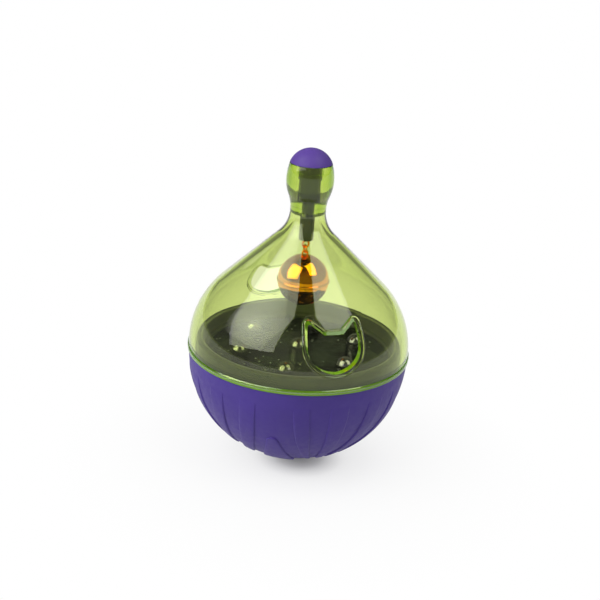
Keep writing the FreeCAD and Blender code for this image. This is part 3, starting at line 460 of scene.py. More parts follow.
def tray_black(name, base, ring):
    """Polished black with a painted mottle of reflections and a few small light specks, rubbed
    to a satin grey on the ring, with a painted highlight on the ring's inner edge.
    """
    material, tree, shader = new_material(name, base, IOR=1.5, Specular_IOR_Level=0.15)
    place = tree.nodes.new("ShaderNodeTexCoord")
    flat = tree.nodes.new("ShaderNodeVectorMath")
    flat.operation = "MULTIPLY"
    flat.inputs[1].default_value = (1, 1, 0)
    tree.links.new(place.outputs["Object"], flat.inputs[0])
    length_of = tree.nodes.new("ShaderNodeVectorMath")
    length_of.operation = "LENGTH"
    tree.links.new(flat.outputs["Vector"], length_of.inputs[0])
    away = length_of.outputs["Value"]

    on_ring = spread(tree, away, 0.0, 1.0, ring, ring + RUB_FULL)
    rubbed = tint(tree, noise(tree, 160, 4), (0.04, 0.043, 0.032), (0.066, 0.071, 0.052))
    # Painted highlight: a lighter band along the ring's rounded inner top edge
    highlight_low, highlight_high = RING_HIGHLIGHT
    painted_highlight = band(tree, away, ring + highlight_low, ring + highlight_high, RING_HIGHLIGHT_SOFT)
    rub_and_highlight = tint(tree, painted_highlight, rubbed, (0.15, 0.155, 0.12))

    # Painted reflection: a greener mottle on the floor's black, for the green dome reflected in
    # it
    reflection_tint = tuple(c * share for c, share in zip(base, (5.0, 6.5, 3.5)))
    reflection_mottle = tint(tree, spread(tree, noise(tree, 110, 6), 0, 1, 0.42, 0.62), base, reflection_tint)
    # A few small light specks scattered over the tray
    specks = tree.nodes.new("ShaderNodeTexVoronoi")
    specks.voronoi_dimensions = "2D"
    specks.inputs["Scale"].default_value = 150
    tree.links.new(place.outputs["Object"], specks.inputs["Vector"])
    near = spread(tree, specks.outputs["Distance"], 1.0, 0.0, 0.03, 0.075)
    few = spread(tree, noise(tree, 75, 2), 0.0, 1.0, 0.5, 0.54)
    light_specks = calculate(tree, "MULTIPLY", near, few)
    specked = tint(tree, light_specks, reflection_mottle, (0.26, 0.28, 0.24))

    ground = tint(tree, on_ring, specked, rub_and_highlight)
    tree.links.new(ground, shader.inputs["Base Color"])
    satin = spread(tree, on_ring, 0.0, 0.25, 0, 1)
    polish = spread(tree, noise(tree, 260, 5), 0.03, 0.1)
    tree.links.new(calculate(tree, "ADD", satin, polish), shader.inputs["Roughness"])
    bump(tree, shader, noise(tree, 60, 2), 0.00006, 0.5)
    return material


def bump_black(name, base):
    """The tray's black where it is polished brightest, on the bumps, with its colour lifted a
    little as a painted reflection.
    """
    # Painted reflection: the bumps' black is made a little lighter than the tray's
    lifted_for_reflection = tuple(c + 0.012 for c in base)
    material, tree, shader = new_material(name, lifted_for_reflection, IOR=1.9, Specular_IOR_Level=0.8)
    shader.inputs["Coat Weight"].default_value = 0.3
    shader.inputs["Coat Roughness"].default_value = 0.02
    vary_roughness(tree, shader, noise(tree, 260, 5), 0.03, 0.12)
    return material


# Where the painted glow goes on the dome, standing in for the light that gathers in the dyed
# plastic:
# the outlets' height over the seam, how far out their faces lie, how little a cut face looks to
# the front, and where the lip ends over the seam
OUTLET_HEIGHTS = (0.008, 0.032)
OUTLET_DISTANCE = (0.024, 0.026)
SIDEWAYS = 0.06
LIP_END = (0.0011, 0.0016)


def painted_glow_mask(tree):
    """1 on the dome's lip and on the cut faces of its outlets, where a painted glow stands in
    for the dyed light that gathers there.
    """
    place = coordinates(tree, "Object")
    away = tree.nodes.new("ShaderNodeMath")
    away.operation = "ABSOLUTE"
    tree.links.new(place["Y"], away.inputs[0])
    sideways = band(tree, coordinates(tree, "Normal")["Y"], -SIDEWAYS, SIDEWAYS, SIDEWAYS)
    low, high = (SEAM + height for height in OUTLET_HEIGHTS)
    at_outlet = band(tree, place["Z"], low, high, 0.001)
    at_front = spread(tree, away.outputs["Value"], 0.0, 1.0, *OUTLET_DISTANCE)
    cut = calculate(tree, "MULTIPLY", sideways, calculate(tree, "MULTIPLY", at_outlet, at_front))
    low, high = (SEAM + height for height in LIP_END)
    lip = spread(tree, place["Z"], 1.0, 0.0, low, high)
    return calculate(tree, "MAXIMUM", cut, lip)


def clear_plastic(name, green, dye, glow):
    """Clear plastic that is tinted through its depth, with a painted green glow on its lip and
    outlet faces; lamps shine through it.
    """
    sockets = {"IOR": 1.49, "Roughness": 0.0, "Transmission Weight": 1.0}
    material, tree, shader = new_material(name, (1, 1, 1), **sockets)
    edges = painted_glow_mask(tree)
    # Painted glow: the lip and the outlet faces take the glow colour in place of part of the
    # transmission
    tree.links.new(tint(tree, edges, (1, 1, 1), glow), shader.inputs["Base Color"])
    tree.links.new(spread(tree, edges, 1.0, 0.45, 0, 1), shader.inputs["Transmission Weight"])
    bump(tree, shader, noise(tree, 38, 1), 0.00008, 0.35)
    depth = tree.nodes.new("ShaderNodeVolumeAbsorption")
    depth.inputs["Color"].default_value = (*green, 1)
    depth.inputs["Density"].default_value = dye
    tree.links.new(depth.outputs["Volume"], tree.nodes["Material Output"].inputs["Volume"])
    through = tree.nodes.new("ShaderNodeBsdfTransparent")
    through.inputs["Color"].default_value = (0.93, 0.93, 0.93, 1)
    in_shadow = tree.nodes.new("ShaderNodeLightPath").outputs["Is Shadow Ray"]
    surface(tree, in_shadow, shader.outputs["BSDF"], through.outputs["BSDF"])
    return material


def gold_plate(name, gold):
    """Thin gold plating over pressed metal, slightly uneven."""
    material, tree, shader = new_material(name, gold, Metallic=1.0)
    warmer = tuple(c * share for c, share in zip(gold, (0.9, 0.74, 0.6)))
    vary_colour(tree, shader, noise(tree, 240, 3), warmer, gold)
    vary_roughness(tree, shader, noise(tree, 900, 4), 0.03, 0.09)
    bump(tree, shader, noise(tree, 170, 2), 0.0004, 0.3)
    return material


def plain_steel(name):
    """Rolled steel with fine drawn lines."""
    material, tree, shader = new_material(name, (0.56, 0.56, 0.58), Metallic=1.0)
    vary_roughness(tree, shader, noise(tree, 900, 2, (1, 1, 0.08)), 0.22, 0.42)
    return material


def raw_iron(name):
    """Rough grey casting."""
    material, tree, shader = new_material(name, (0.1, 0.1, 0.105), Metallic=0.6)
    grains = noise(tree, 700, 6)
    vary_colour(tree, shader, grains, (0.07, 0.07, 0.075), (0.16, 0.155, 0.15))
    vary_roughness(tree, shader, grains, 0.55, 0.8)
    bump(tree, shader, grains, 0.0002)
    return material


def moulded_plastic(name, darker, lighter):
    """Plain moulded plastic with a dull grain."""
    material, tree, shader = new_material(name, darker)
    vary_colour(tree, shader, noise(tree, 90, 3), darker, lighter)
    vary_roughness(tree, shader, noise(tree, 600, 3), 0.4, 0.55)
    return material


# Soft cover of the ball

# The tongues and flames are laid out in millimetres, as seen in plan. One group of tongues:
# the azimuth in degrees from -Y towards +X, how far the lower end leans, and the widths at
# the top and at the lower end
BALL = BALL_RADIUS * 1000
TONGUES = (
    (-44.0, -8.0, 8.2, 6.2),
    (-16.2, 6.2, 7.8, 2.4),
    (4.0, 0.75, 9.2, 3.9),
    (26.0, -6.8, 9.0, 2.8),
)
TONGUE_GROUPS = 4
# From the lower to the upper end: the distance from the upright axis, and the latitude
# below the seam in degrees
TONGUE_REACH = (30.0, BALL)
TONGUE_LATITUDES = (55.0, 3.0)
# The flame between two tongues: its azimuth, then the distance from the upright axis and
# its half width there
FLAME = -31.5
FLAME_WIDTHS = (
    (14.5, 2.6), (17.0, 4.2), (22.0, 6.2), (28.5, 7.1), (34.0, 6.0), (38.7, 4.5), (41.5, 3.6),
    (43.7, 2.8), (46.0, 2.5),
)
FLAME_LATITUDES = (74.0, 29.3)
# How far from its ends a tongue and a flame begin to narrow, and the least share of its
# width that an end keeps, squared
TONGUE_TIP = 1.5
FLAME_TIP = 2.6
END_WIDTH_SQUARED = 0.02
# Rows along a strip: their spacing, and how far the first and last lie from the ends
ROW_SPACING = 1.7
FIRST_ROW = 1.2
# How deep the underside of each strip lies in the ball's wall, in metres
STRIP_DEPTH = 0.001
# The latitude below the seam in degrees and how far the tongues stand out there
RELIEF_RISE = ((6.0, -0.3), (9.0, 0.25), (14.0, 0.6), (22.0, 0.85), (40.0, 1.0), (78.0, 1.0))
# How far inside an outline and the share of the height there, from sunk to full
SUNK = 0.4
EDGE = ((-0.25, -SUNK), (0.0, 0.5), (0.3, 0.9), (0.7, 1.0))
# Columns across a strip: the side, how far inside the outline (at most INMOST of the half
# width), and the share that is kept of what is left from there to the middle
ACROSS = (
    (-1, -0.25, 1), (-1, 0.0, 1), (-1, 0.3, 1), (-1, 0.7, 1), (-1, 0.7, 0.5), (0, 0.7, 1),
    (1, 0.7, 0.5), (1, 0.7, 1), (1, 0.3, 1), (1, 0.0, 1), (1, -0.25, 1),
)
INMOST = 0.8


def between(table, place):
    """Read a table of places and values, with straight lines between its entries."""
    for (first, low), (last, high) in zip(table, table[1:]):
        if place <= last:
            return low + (high - low) * max(0.0, (place - first) / (last - first))
    return table[-1][1]


def flat_slab(columns, rows, height):
    """A grid of 2 by 2 with a thickness, to be laid over the ball."""
    deselect_all()
    bpy.ops.mesh.primitive_grid_add(x_subdivisions=columns - 1, y_subdivisions=rows - 1, size=2)
    slab = bpy.context.object
    bpy.ops.object.mode_set(mode="EDIT")
    bpy.ops.mesh.select_all(action="SELECT")
    bpy.ops.mesh.extrude_region_move(TRANSFORM_OT_translate={"value": (0, 0, height)})
    turn_outwards()
    return slab


def raised_strip(azimuth, latitudes, middle, widths, tip, relief):
    """A strip laid over the ball whose edges sink into it; middle and widths go by reach."""
    low = math.radians(latitudes[0])
    run = (low - math.radians(latitudes[1])) * BALL
    ends = [inside for inside, share in EDGE]
    steps = int(run / ROW_SPACING)
    along = ends + [FIRST_ROW + (run - 2 * FIRST_ROW) * n / steps for n in range(steps + 1)]
    along += [run - inside for inside in reversed(ends)]
    height = 0.1
    strip = flat_slab(len(ACROSS), len(along), height)
    for vert in strip.data.vertices:
        side, inside, share = ACROSS[round((vert.co.x + 1) / 2 * (len(ACROSS) - 1))]
        way = along[round((vert.co.y + 1) / 2 * (len(along) - 1))]
        on_top = vert.co.z > height / 2
        latitude = low - way / BALL
        reach = BALL * math.cos(latitude)
        from_end = min(way, run - way)
        rounded = 1 - (1 - min(tip, max(0, from_end)) / tip) ** 2
        half = between(widths, reach) * math.sqrt(max(END_WIDTH_SQUARED, rounded))
        offset = side * (half - min(inside, half * INMOST)) * share
        edge = between(EDGE, min(inside, from_end)) + SUNK
        full = between(RELIEF_RISE, math.degrees(latitude)) + SUNK
        rise = full * edge / (1 + SUNK) - SUNK
        radius = BALL_RADIUS + (relief * rise if on_top else -STRIP_DEPTH)
        turn = math.radians(azimuth) + (between(middle, reach) + offset) / reach
        flat = radius * math.cos(latitude)
        vert.co = (
            flat * math.sin(turn), -flat * math.cos(turn), SEAM - radius * math.sin(latitude)
        )
    return strip


def raise_tongues(cover, relief):
    """Join the tongues and flames onto the ball."""
    first, last = TONGUE_REACH
    straight = ((0.0, 0.0), (BALL, 0.0))
    for group in range(TONGUE_GROUPS):
        turn = group * 360 / TONGUE_GROUPS
        for azimuth, lean, top, end in TONGUES:
            middle = ((first, lean), (last, 0.0))
            widths = ((first, end / 2), (last, top / 2))
            tongue = (azimuth + turn, TONGUE_LATITUDES, middle, widths, TONGUE_TIP)
            combine(cover, raised_strip(*tongue, relief), "UNION")
        flame = (FLAME + turn, FLAME_LATITUDES, straight, FLAME_WIDTHS, FLAME_TIP)
        combine(cover, raised_strip(*flame, relief), "UNION")


class TREAT_OT_soft_cover(bpy.types.Operator):
    """Soft ball cover with its raised tongues"""

    bl_idname = "treat.soft_cover"
    bl_label = "Soft cover"

    def execute(self, context):
        base = context.scene.treat_base
        inside = BALL_RADIUS - base.wall
        pencil = Pencil("soft_cover", 0.0, 0.0)
        pencil.line(base.foot, 0.0)
        pencil.arc(BALL_RADIUS, SEAM, BALL_RADIUS, 1, 72)
        pencil.line(inside, SEAM)
        pencil.arc(0.0, SEAM - inside, inside, -1, 24)
        pencil.line(0.0, 0.0)
        pencil.close().round_off([(BALL_RADIUS, SEAM)], 0.0004)
        cover = pencil.revolve(240)
        raise_tongues(cover, base.relief)
        smooth(cover, 40)
        rubber = soft_rubber("purple_soft", base.purple)
        finish_piece(cover, "base", "purple_soft", rubber, "base_cover")
        return {"FINISHED"}


class TREAT_OT_tray(bpy.types.Operator):
    """Black tray with its ring and rounded bumps"""

    bl_idname = "treat.tray"
    bl_label = "Tray"

    def execute(self, context):
        tray = context.scene.treat_tray
        floor = SEAM - tray.floor_drop
        top = SEAM + tray.ring_rise
        corner = tray.corner
        # The flange lies on the inner bowl, and the spigot under it goes down inside the bowl
        flange_low = SEAM - 0.0016
        spigot = 0.0464
        under = floor - tray.floor_wall
        pencil = Pencil("bumpy_tray", 0.0, floor)
        pencil.line(tray.ring_inside - corner, floor, steps=8)
        pencil.arc(tray.ring_inside, floor + corner, corner, 1, steps=8)
        pencil.line(tray.ring_inside, top).line(tray.ring_outside, top)
        pencil.line(tray.ring_outside, SEAM).line(FLANGE, SEAM)
        pencil.line(FLANGE, flange_low).line(spigot, flange_low)
        pencil.line(spigot, under).line(0.0, under).line(0.0, floor)
        crest = [(tray.ring_inside, top), (tray.ring_outside, top)]
        pencil.close().round_off(crest, 0.0009, segments=4)
        dish = pencil.revolve(192)
        bump_piece = self.one_bump(tray, floor)
        for number in range(tray.bump_count):
            turn = 2 * math.pi * number / tray.bump_count
            place = Vector((math.cos(turn), math.sin(turn), 0)) * tray.bump_circle
            combine(dish, copied(bump_piece, place), "UNION")
        combine(dish, bump_piece, "UNION")
        smooth(dish, 40)
        rubbed_from = tray.ring_inside - 0.002
        black = tray_black("tray_black", tray.black, rubbed_from)
        finish_piece(dish, "base", "black_gloss", black, "feeding_tray")
        dish.data.materials.append(bump_black("bump_black", tray.black))
        bumps_end = tray.bump_circle + corner * 3
        just_over_floor = floor + corner / 8
        for face in dish.data.polygons:
            among_bumps = math.hypot(face.center.x, face.center.y) < bumps_end
            face.material_index = int(among_bumps and face.center.z > just_over_floor)
        return {"FINISHED"}

    def one_bump(self, tray, floor):
        """A thimble-shaped bump with a round top."""
        shoulder = floor + tray.bump_rise - tray.bump_radius
        sunk = floor - tray.floor_wall / 2
        pencil = Pencil("bump", 0.0, sunk)
        pencil.line(tray.bump_radius, sunk).line(tray.bump_radius, shoulder)
        pencil.arc(0.0, floor + tray.bump_rise, tray.bump_radius, 1, 14)
        pencil.line(0.0, sunk)
        return pencil.close().revolve(48)


# Clear dome with its outlets

# A distance from the middle that lies clear outside the dome
CLEAR_OF_DOME = BALL_RADIUS * 1.2


def arc_points(start, finish, radius, steps):
    """Points after start along an anticlockwise arc that ends at finish."""
    start, finish = Vector(start), Vector(finish)
    chord = finish - start
    left = Vector((-chord.y, chord.x)).normalized()
    centre = (start + finish) / 2 + left * math.sqrt(radius ** 2 - (chord.length / 2) ** 2)
    sweep = 2 * math.asin(chord.length / 2 / radius)
    spoke = start - centre
    return [centre + Matrix.Rotation(sweep * n / steps, 2) @ spoke for n in range(1, steps + 1)]


def line_points(start, finish, steps):
    start, finish = Vector(start), Vector(finish)
    return [start.lerp(finish, n / steps) for n in range(1, steps + 1)]


def cat_head():
    """A plain cat's head, anticlockwise from the chin: a round face, ears and a flat brow."""
    chin = (0.0, SEAM + 0.0098)
    jaw = (0.0094, SEAM + 0.0136)
    cheek = (0.0124, SEAM + 0.0205)
    tip = 0.0011
    ear_out = (0.0104 + tip * 0.9, SEAM + 0.030 - tip)
    ear_in = (0.0104 - tip * 0.7, SEAM + 0.030 - tip * 0.3)
    brow = (0.0044, SEAM + 0.026)
    right = [Vector(chin)]
    right += arc_points(chin, jaw, cheek[0] * 1.2, 8)
    right += arc_points(jaw, cheek, cheek[0] * 0.75, 8)
    right += arc_points(cheek, ear_out, 0.045, 8)
    right += arc_points(ear_out, ear_in, tip, 6)
    right += line_points(ear_in, brow, 5)
    right += line_points(brow, (0.0, brow[1]), 3)
    left = [Vector((-point.x, point.y)) for point in reversed(right[1:-1])]
    return right + left


def widened(points, distance):
    """The closed outline moved outwards by a distance."""
    wider = []
    for number, point in enumerate(points):
        before = (point - points[number - 1]).normalized()
        after = (points[(number + 1) % len(points)] - point).normalized()
        along = (before + after).normalized()
        outwards = Vector((along.y, -along.x))
        wider.append(point + outwards * distance / max(0.5, along.dot(after)))
    return wider


def traced(name, points, depth):
    """An outline drawn through the points at a depth."""
    pencil = Pencil(name, points[0].x, points[0].y, depth)
    for point in points[1:] + points[:1]:
        pencil.line(point.x, point.y)
    return pencil.close()


class TREAT_OT_dome(bpy.types.Operator):
    """Clear teardrop dome with its knob and beaded cat-head outlets"""

    bl_idname = "treat.dome"
    bl_label = "Dome"

    def execute(self, context):
        dome = context.scene.treat_dome
        wall = self.wall_of(dome, context.scene.treat_knob)
        beads = [self.bead_on(wall, dome, side) for side in (-1, 1)]
        for bead in beads:
            combine(wall, bead, "UNION")
        cutter = traced("outlet_cutter", cat_head(), -CLEAR_OF_DOME).thicken(CLEAR_OF_DOME * 2)
        combine(wall, cutter, "DIFFERENCE")
        smooth(wall, 32)
        clear = clear_plastic("clear_green", dome.green, dome.dye, dome.edges)
        finish_piece(wall, "dome", "clear_green", clear, "dome", "neck_knob")
        return {"FINISHED"}

    def wall_of(self, dome, knob):
        foot = SEAM + dome.foot_gap
        lip_top = foot + dome.lip_height
        slope = dome.shoulder
        belly_z = SEAM + dome.belly_start
        middle = dome.radius - dome.belly
        hub = dome.neck + dome.sweep
        inner_belly = dome.belly - dome.wall
        inner_sweep = dome.sweep + dome.wall
        inner_radius = dome.radius - dome.wall
        outside = dome.radius + dome.lip
        underside = NECK - dome.crown + HAIR
        foot_top = SEAM + dome.foot_depth
        throat = hub - math.sqrt(inner_sweep ** 2 - (NECK - underside) ** 2)

        def spoke(across, up, radius):
            """The point of an arc where it has the shoulder's slope."""
            return across + radius * math.cos(slope), up + radius * math.sin(slope)

        belly_end = spoke(middle, belly_z, dome.belly)
        sweep_start = spoke(hub, NECK, -dome.sweep)
        inner_start = spoke(hub, NECK, -inner_sweep)
        inner_end = spoke(middle, belly_z, inner_belly)
        pencil = Pencil("clear_dome", dome.foot_inside, foot)
        pencil.line(outside, foot).line(outside, lip_top)
        pencil.line(dome.radius, lip_top + dome.lip).line(dome.radius, belly_z)
        pencil.arc(*belly_end, dome.belly, 1, 30).line(*sweep_start, 6)
        pencil.arc(dome.neck, NECK, dome.sweep, -1, 20)
        self.knob_on(pencil, dome, knob)
        pencil.line(dome.hole, underside).line(throat, underside)
        pencil.arc(*inner_start, inner_sweep, 1, 18).line(*inner_end, 6)
        pencil.arc(inner_radius, belly_z, inner_belly, -1, 28)
        pencil.line(inner_radius, foot_top).line(dome.foot_inside, foot_top)
        pencil.line(dome.foot_inside, foot)
        pencil.close().round_off([(outside, foot), (outside, lip_top)], 0.0003)
        return pencil.revolve(240)

    def knob_on(self, pencil, dome, knob):
        """Carry the section on from the neck, with its fine joint line, round the knob."""
        joint = 0.00015
        sway = knob.widest - dome.neck
        s_curve = (knob.belly_rise ** 2 + sway ** 2) / (4 * sway)
        crown_rise = KNOB_RIM - NECK - knob.belly_rise
        draw_in = knob.widest - knob.rim
        upper_curve = (crown_rise ** 2 + draw_in ** 2) / (2 * draw_in)
        floor = NECK + knob.floor - HAIR
        mouth_floor = KNOB_RIM - knob.mouth_depth
        pencil.line(dome.neck - joint, NECK + joint / 2).line(dome.neck, NECK + joint)
        pencil.arc(dome.neck + sway / 2, NECK + knob.belly_rise / 2, s_curve, -1, 12)
        pencil.arc(knob.widest, NECK + knob.belly_rise, s_curve, 1, 12)
        pencil.arc(knob.rim, KNOB_RIM, upper_curve, 1, 12)
        pencil.line(knob.mouth, KNOB_RIM).line(knob.mouth, mouth_floor)
        pencil.line(knob.bore, mouth_floor).line(knob.bore, floor)
        pencil.line(dome.hole, floor)

    def bead_on(self, wall, dome, side):
        """A round bead that follows the outlet's outline on the dome's outer face."""
        outline = widened(cat_head(), dome.bead_way)
        bead = traced("outlet_bead", outline, CLEAR_OF_DOME * side).piece
        bpy.ops.object.mode_set(mode="OBJECT")
        lay = bead.modifiers.new("lay", "SHRINKWRAP")
        lay.wrap_method = "PROJECT"
        lay.target = wall
        lay.use_project_y = True
        lay.use_positive_direction = side < 0
        lay.use_negative_direction = side > 0
        apply_all(bead)
        bpy.ops.object.convert(target="CURVE")
        bead.data.bevel_depth = dome.bead
        bead.data.bevel_resolution = 3
        bpy.ops.object.convert(target="MESH")
        return bead


# Cap


class TREAT_OT_cap(bpy.types.Operator):
    """Soft lilac cap, snapped over the stem's button"""

    bl_idname = "treat.cap"
    bl_label = "Cap"

    def execute(self, context):
        knob = context.scene.treat_knob
        low = KNOB_RIM + HAIR
        rise = CAP_TOP - low
        crown = (knob.rim ** 2 + rise ** 2) / (2 * rise)
        # The socket that snaps over the stem's button
        neck, button = 0.0025, 0.0035
        step, recess = KNOB_RIM + 0.0015, KNOB_RIM + 0.0033
        pencil = Pencil("soft_cap", neck, low)
        pencil.line(knob.rim, low)
        pencil.arc(0.0, CAP_TOP, crown, 1, 24)
        pencil.line(0.0, recess).line(button, recess).line(button, step)
        pencil.line(neck, step).line(neck, low)
        pencil.close().round_off([(knob.rim, low)], 0.0006)
        cap = pencil.revolve(96)
        smooth(cap)
        lilac = soft_rubber("cap_soft", knob.lilac)
        finish_piece(cap, "dome", "cap_soft", lilac, "top_cap")
        return {"FINISHED"}


# Bell


class TREAT_OT_bell(bpy.types.Operator):
    """Jingle bell of two pressed halves"""

    bl_idname = "treat.bell"
    bl_label = "Bell"

    def execute(self, context):
        bell = context.scene.treat_bell
        upper = self.half(bell, "bell_top", 1)
        for side in (-1, 1):
            combine(upper, self.leg_drill(bell, side), "DIFFERENCE")
        lower = self.half(bell, "bell_bowl", -1)
        combine(lower, self.slot_blade(bell), "DIFFERENCE")
        combine(lower, self.hole_drill(bell), "DIFFERENCE")
        gold = gold_plate("bell_gold", bell.gold)
        for piece, node in ((upper, "bell_upper"), (lower, "bell_lower")):
            smooth(piece, 30)
            finish_piece(piece, "bell", "gold", gold, node)
        dress(gold, "bell_loop", "screw_eye", "jump_ring")
        dress(plain_steel("pea_steel"), "bell_pea")
        return {"FINISHED"}

    def half(self, bell, name, up):
        inside = BELL_RADIUS - bell.wall
        bead = BELL_RADIUS + bell.bead
        start = BELL_MIDDLE + HAIR * up
        edge = BELL_MIDDLE + bell.bead_height * up
        bead_root = math.sqrt(BELL_RADIUS ** 2 - bell.bead_height ** 2)
        pencil = Pencil(name, inside, start)
        pencil.line(bead, start).line(bead, edge).line(bead_root, edge)
        pencil.arc(0.0, BELL_MIDDLE + BELL_RADIUS * up, BELL_RADIUS, up, 32)
        pencil.line(0.0, BELL_MIDDLE + inside * up)
        pencil.arc(inside, start, inside, -up, 32)
        pencil.close().round_off([(bead, edge)], 0.0003)
        return pencil.revolve(96)

    def leg_drill(self, bell, side):
        """A round tool for one of the loop's legs."""
        return placed(
            bpy.ops.mesh.primitive_cylinder_add,
            vertices=24,
            radius=bell.leg_hole,
            depth=BELL_RADIUS / 2,
            location=(bell.leg_way * side, 0, BELL_TOP),
        )

    def slot_blade(self, bell):
        """A thin blade across the underside, as wide as the slot."""
        top = BELL_MIDDLE - bell.hole_drop
        return placed(
            bpy.ops.mesh.primitive_cube_add,
            size=1,
            location=(0, 0, top - BELL_RADIUS / 2),
            rotation=(0, 0, bell.slot_turn),
            scale=(bell.slot, BELL_RADIUS * 3, BELL_RADIUS),
        )

    def hole_drill(self, bell):
        """A round tool from side to side for the holes at the slot's ends."""
        return placed(
            bpy.ops.mesh.primitive_cylinder_add,
            vertices=48,
            radius=bell.hole,
            depth=BELL_RADIUS * 3,
            location=(0, 0, BELL_MIDDLE - bell.hole_drop),
            rotation=(math.pi / 2, 0, bell.slot_turn),
        )


class TREAT_OT_kept_solids(bpy.types.Operator):
    """Finishes of the solids that stay as they are"""

    bl_idname = "treat.kept_solids"
    bl_label = "Kept solids"

    def execute(self, context):
        grey = moulded_plastic("shell_grey", (0.09, 0.09, 0.1), (0.12, 0.12, 0.13))
        rubber = moulded_plastic("seal_rubber", (0.012, 0.012, 0.014), (0.02, 0.02, 0.022))
        dress(grey, "base_shell")
        dress(raw_iron("weight_iron"), "counterweight")
        dress(plain_steel("screw_steel"), "weight_washer", "weight_screw", "tray_screws")
        dress(rubber, "seal_ring")
        dress(gloss_black("stem_black", (0.027, 0.032, 0.018)), "neck_stem", "bell_rod")
        return {"FINISHED"}


# Stage

# Lamps as the object sees them: azimuth from -Y towards +X, elevation and roll in degrees,
# and width and height
LEFT_BOX = (-79, 41.4, 17, (0.82, 0.92))
RIGHT_BOX = (47, 58, -23.6, (0.48, 0.8))
LEFT_BULB = (-84, 42, 0, (0.8, 0.8))
BULB_SPREAD = 70
LAMP_DISTANCE = 0.8
# What the lamps aim at
LAMP_AIM = (0, 0, SEAM + 0.03)
# How bright the surroundings are from below and overhead, and the heights between which
# they change, 1 being straight up
SKY_LEVELS = (0.27, 0.05)
SKY_HEIGHTS = (0.6, 0.95)
# The camera, its lens in millimetres, and its shift in pixels of the photograph's frame
CAMERA_PLACE = (-0.2003, -0.5502, 0.3038)
CAMERA_AIM = (0, 0, 0.07125)
CAMERA_ROLL = 4.08
LENS = 80.4
SHIFT = (-0.92, 10.13)
FRAME_WIDTH = 600
# Where the shadow's middle lies and how far it reaches. Then the distance from there, as a
# share of the reach, and how white the paper is
SHADOW_MIDDLE = (0, -0.012, 0)
FLOOR_REACH = 0.12
FLOOR_WHITENING = (
    (0.0, 0.12), (0.04, 0.2), (0.072, 0.27), (0.113, 0.47), (0.154, 0.65), (0.19, 0.76),
    (0.27, 0.81), (0.36, 0.86), (0.49, 0.91), (0.63, 0.945), (1.0, 1.0),
)


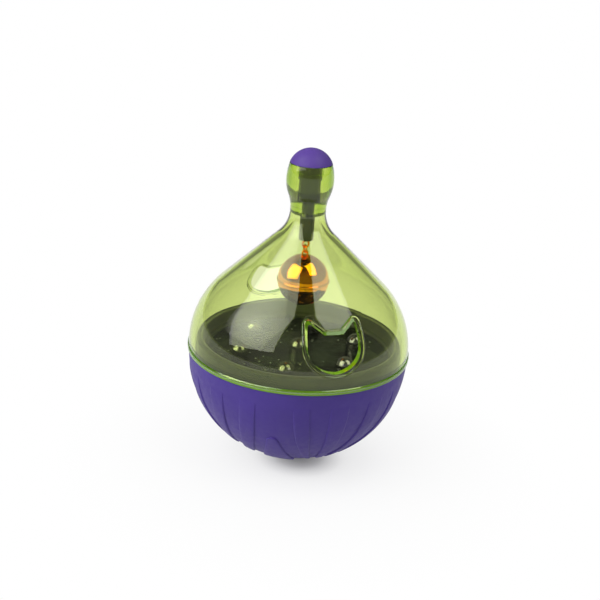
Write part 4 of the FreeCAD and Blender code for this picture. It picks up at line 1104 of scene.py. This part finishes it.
class TREAT_OT_stage(bpy.types.Operator):
    """White floor, soft lamps and the camera"""

    bl_idname = "treat.stage"
    bl_label = "Stage"

    def execute(self, context):
        stage = context.scene.treat_stage
        self.floor()
        self.surroundings(context)
        self.softbox("left_box", stage.left, *LEFT_BOX)
        self.softbox("right_box", stage.right, *RIGHT_BOX)
        glow = self.softbox("left_bulb", stage.bulb, *LEFT_BULB)
        glow.data.spread = math.radians(BULB_SPREAD)
        self.camera(context)
        context.scene.view_settings.view_transform = "Standard"
        return {"FINISHED"}

    def floor(self):
        deselect_all()
        bpy.ops.mesh.primitive_grid_add(x_subdivisions=8, y_subdivisions=8, size=6)
        floor = bpy.context.object
        floor.name = "white_floor"
        floor.data.materials.append(self.floor_white())

    def floor_white(self):
        """White paper that reads as pure white away from the object and keeps its shadow."""
        material, tree, shader = new_material("floor_white", (0.6, 0.6, 0.6), Roughness=0.9)
        glow = tree.nodes.new("ShaderNodeEmission")
        glow.inputs["Color"].default_value = (1, 1, 1, 1)
        place = tree.nodes.new("ShaderNodeTexCoord")
        away = tree.nodes.new("ShaderNodeVectorMath")
        away.operation = "DISTANCE"
        away.inputs[1].default_value = SHADOW_MIDDLE
        tree.links.new(place.outputs["Object"], away.inputs[0])
        share = self.whitening(tree, away.outputs["Value"])
        rays = tree.nodes.new("ShaderNodeLightPath").outputs
        seen = calculate(tree, "MAXIMUM", rays["Is Camera Ray"], rays["Is Transmission Ray"])
        seen = calculate(tree, "MAXIMUM", seen, rays["Is Glossy Ray"])
        white = calculate(tree, "MULTIPLY", seen, share)
        surface(tree, white, shader.outputs["BSDF"], glow.outputs["Emission"])
        return material

    def whitening(self, tree, distance):
        """How far the paper is turned to pure white at each distance from the object."""
        curve = tree.nodes.new("ShaderNodeFloatCurve")
        points = curve.mapping.curves[0].points
        for place, share in FLOOR_WHITENING:
            # The curve starts with its two end points
            if place in (0.0, 1.0):
                points[int(place)].location = (place, share)
            else:
                points.new(place, share)
        curve.mapping.update()
        reach = spread(tree, distance, 0.0, 1.0, 0.0, FLOOR_REACH)
        tree.links.new(reach, curve.inputs["Value"])
        return curve.outputs["Value"]

    def surroundings(self, context):
        """White for the camera; for the object white low down and dark overhead."""
        world = bpy.data.worlds.new("studio")
        context.scene.world = world
        world.use_nodes = True
        tree = world.node_tree
        height = coordinates(tree, "Generated")["Z"]
        level = spread(tree, height, *SKY_LEVELS, *SKY_HEIGHTS)
        seen = tree.nodes.new("ShaderNodeLightPath").outputs["Is Camera Ray"]
        strength = calculate(tree, "MAXIMUM", seen, level)
        background = tree.nodes["Background"]
        background.inputs["Color"].default_value = (1, 1, 1, 1)
        tree.links.new(strength, background.inputs["Strength"])

    def softbox(self, name, power, azimuth, elevation, roll, size):
        """A soft lamp, placed by the direction in which the object sees it."""
        turn, lift = math.radians(azimuth), math.radians(elevation)
        flat = math.cos(lift)
        way = Vector((math.sin(turn) * flat, -math.cos(turn) * flat, math.sin(lift)))
        deselect_all()
        bpy.ops.object.light_add(type="AREA", location=Vector(LAMP_AIM) + way * LAMP_DISTANCE)
        lamp = bpy.context.object
        lamp.name = name
        lamp.data.shape = "RECTANGLE"
        lamp.data.size, lamp.data.size_y = size
        lamp.data.energy = power
        turn = (-way).to_track_quat("-Z", "Y") @ Quaternion((0, 0, 1), math.radians(roll))
        lamp.rotation_euler = turn.to_euler()
        return lamp

    def camera(self, context):
        """The photograph's view: from the front left and above, slightly rolled."""
        place, aim = Vector(CAMERA_PLACE), Vector(CAMERA_AIM)
        deselect_all()
        bpy.ops.object.camera_add(location=place)
        camera = bpy.context.object
        camera.name = "photo_view"
        roll = Quaternion((0, 0, 1), math.radians(CAMERA_ROLL))
        turn = (aim - place).to_track_quat("-Z", "Y") @ roll
        camera.rotation_euler = turn.to_euler()
        camera.data.sensor_width = 36
        camera.data.lens = LENS
        camera.data.shift_x, camera.data.shift_y = (pixels / FRAME_WIDTH for pixels in SHIFT)
        context.scene.camera = camera


# Panel


class TREAT_PT_panel(bpy.types.Panel):
    """Steps and sizes of the treat dispenser"""

    bl_label = "Treat dispenser"
    bl_idname = "TREAT_PT_panel"
    bl_space_type = "VIEW_3D"
    bl_region_type = "UI"
    bl_category = "Treat"

    def draw(self, context):
        for step in STEPS:
            self.layout.operator(step.bl_idname)
        for name in SETTINGS:
            box = self.layout.box()
            group = getattr(context.scene, name)
            for key in type(group).__annotations__:
                box.prop(group, key)


SETTINGS = {
    "treat_base": BaseSettings,
    "treat_tray": TraySettings,
    "treat_dome": DomeSettings,
    "treat_knob": KnobSettings,
    "treat_bell": BellSettings,
    "treat_stage": StageSettings,
}
STEPS = (
    TREAT_OT_soft_cover,
    TREAT_OT_tray,
    TREAT_OT_dome,
    TREAT_OT_cap,
    TREAT_OT_bell,
    TREAT_OT_kept_solids,
    TREAT_OT_stage,
)


def register():
    for group in SETTINGS.values():
        bpy.utils.register_class(group)
    for name, group in SETTINGS.items():
        setattr(bpy.types.Scene, name, PointerProperty(type=group))
    for step in STEPS + (TREAT_PT_panel,):
        bpy.utils.register_class(step)


def unregister():
    for step in reversed(STEPS + (TREAT_PT_panel,)):
        bpy.utils.unregister_class(step)
    for name, group in SETTINGS.items():
        delattr(bpy.types.Scene, name)
        bpy.utils.unregister_class(group)


def main():
    register()
    bpy.ops.treat.soft_cover()
    bpy.ops.treat.tray()
    bpy.ops.treat.dome()
    bpy.ops.treat.cap()
    bpy.ops.treat.bell()
    bpy.ops.treat.kept_solids()
    bpy.ops.treat.stage()
    deselect_all()


if __name__ == "__main__":
    main()
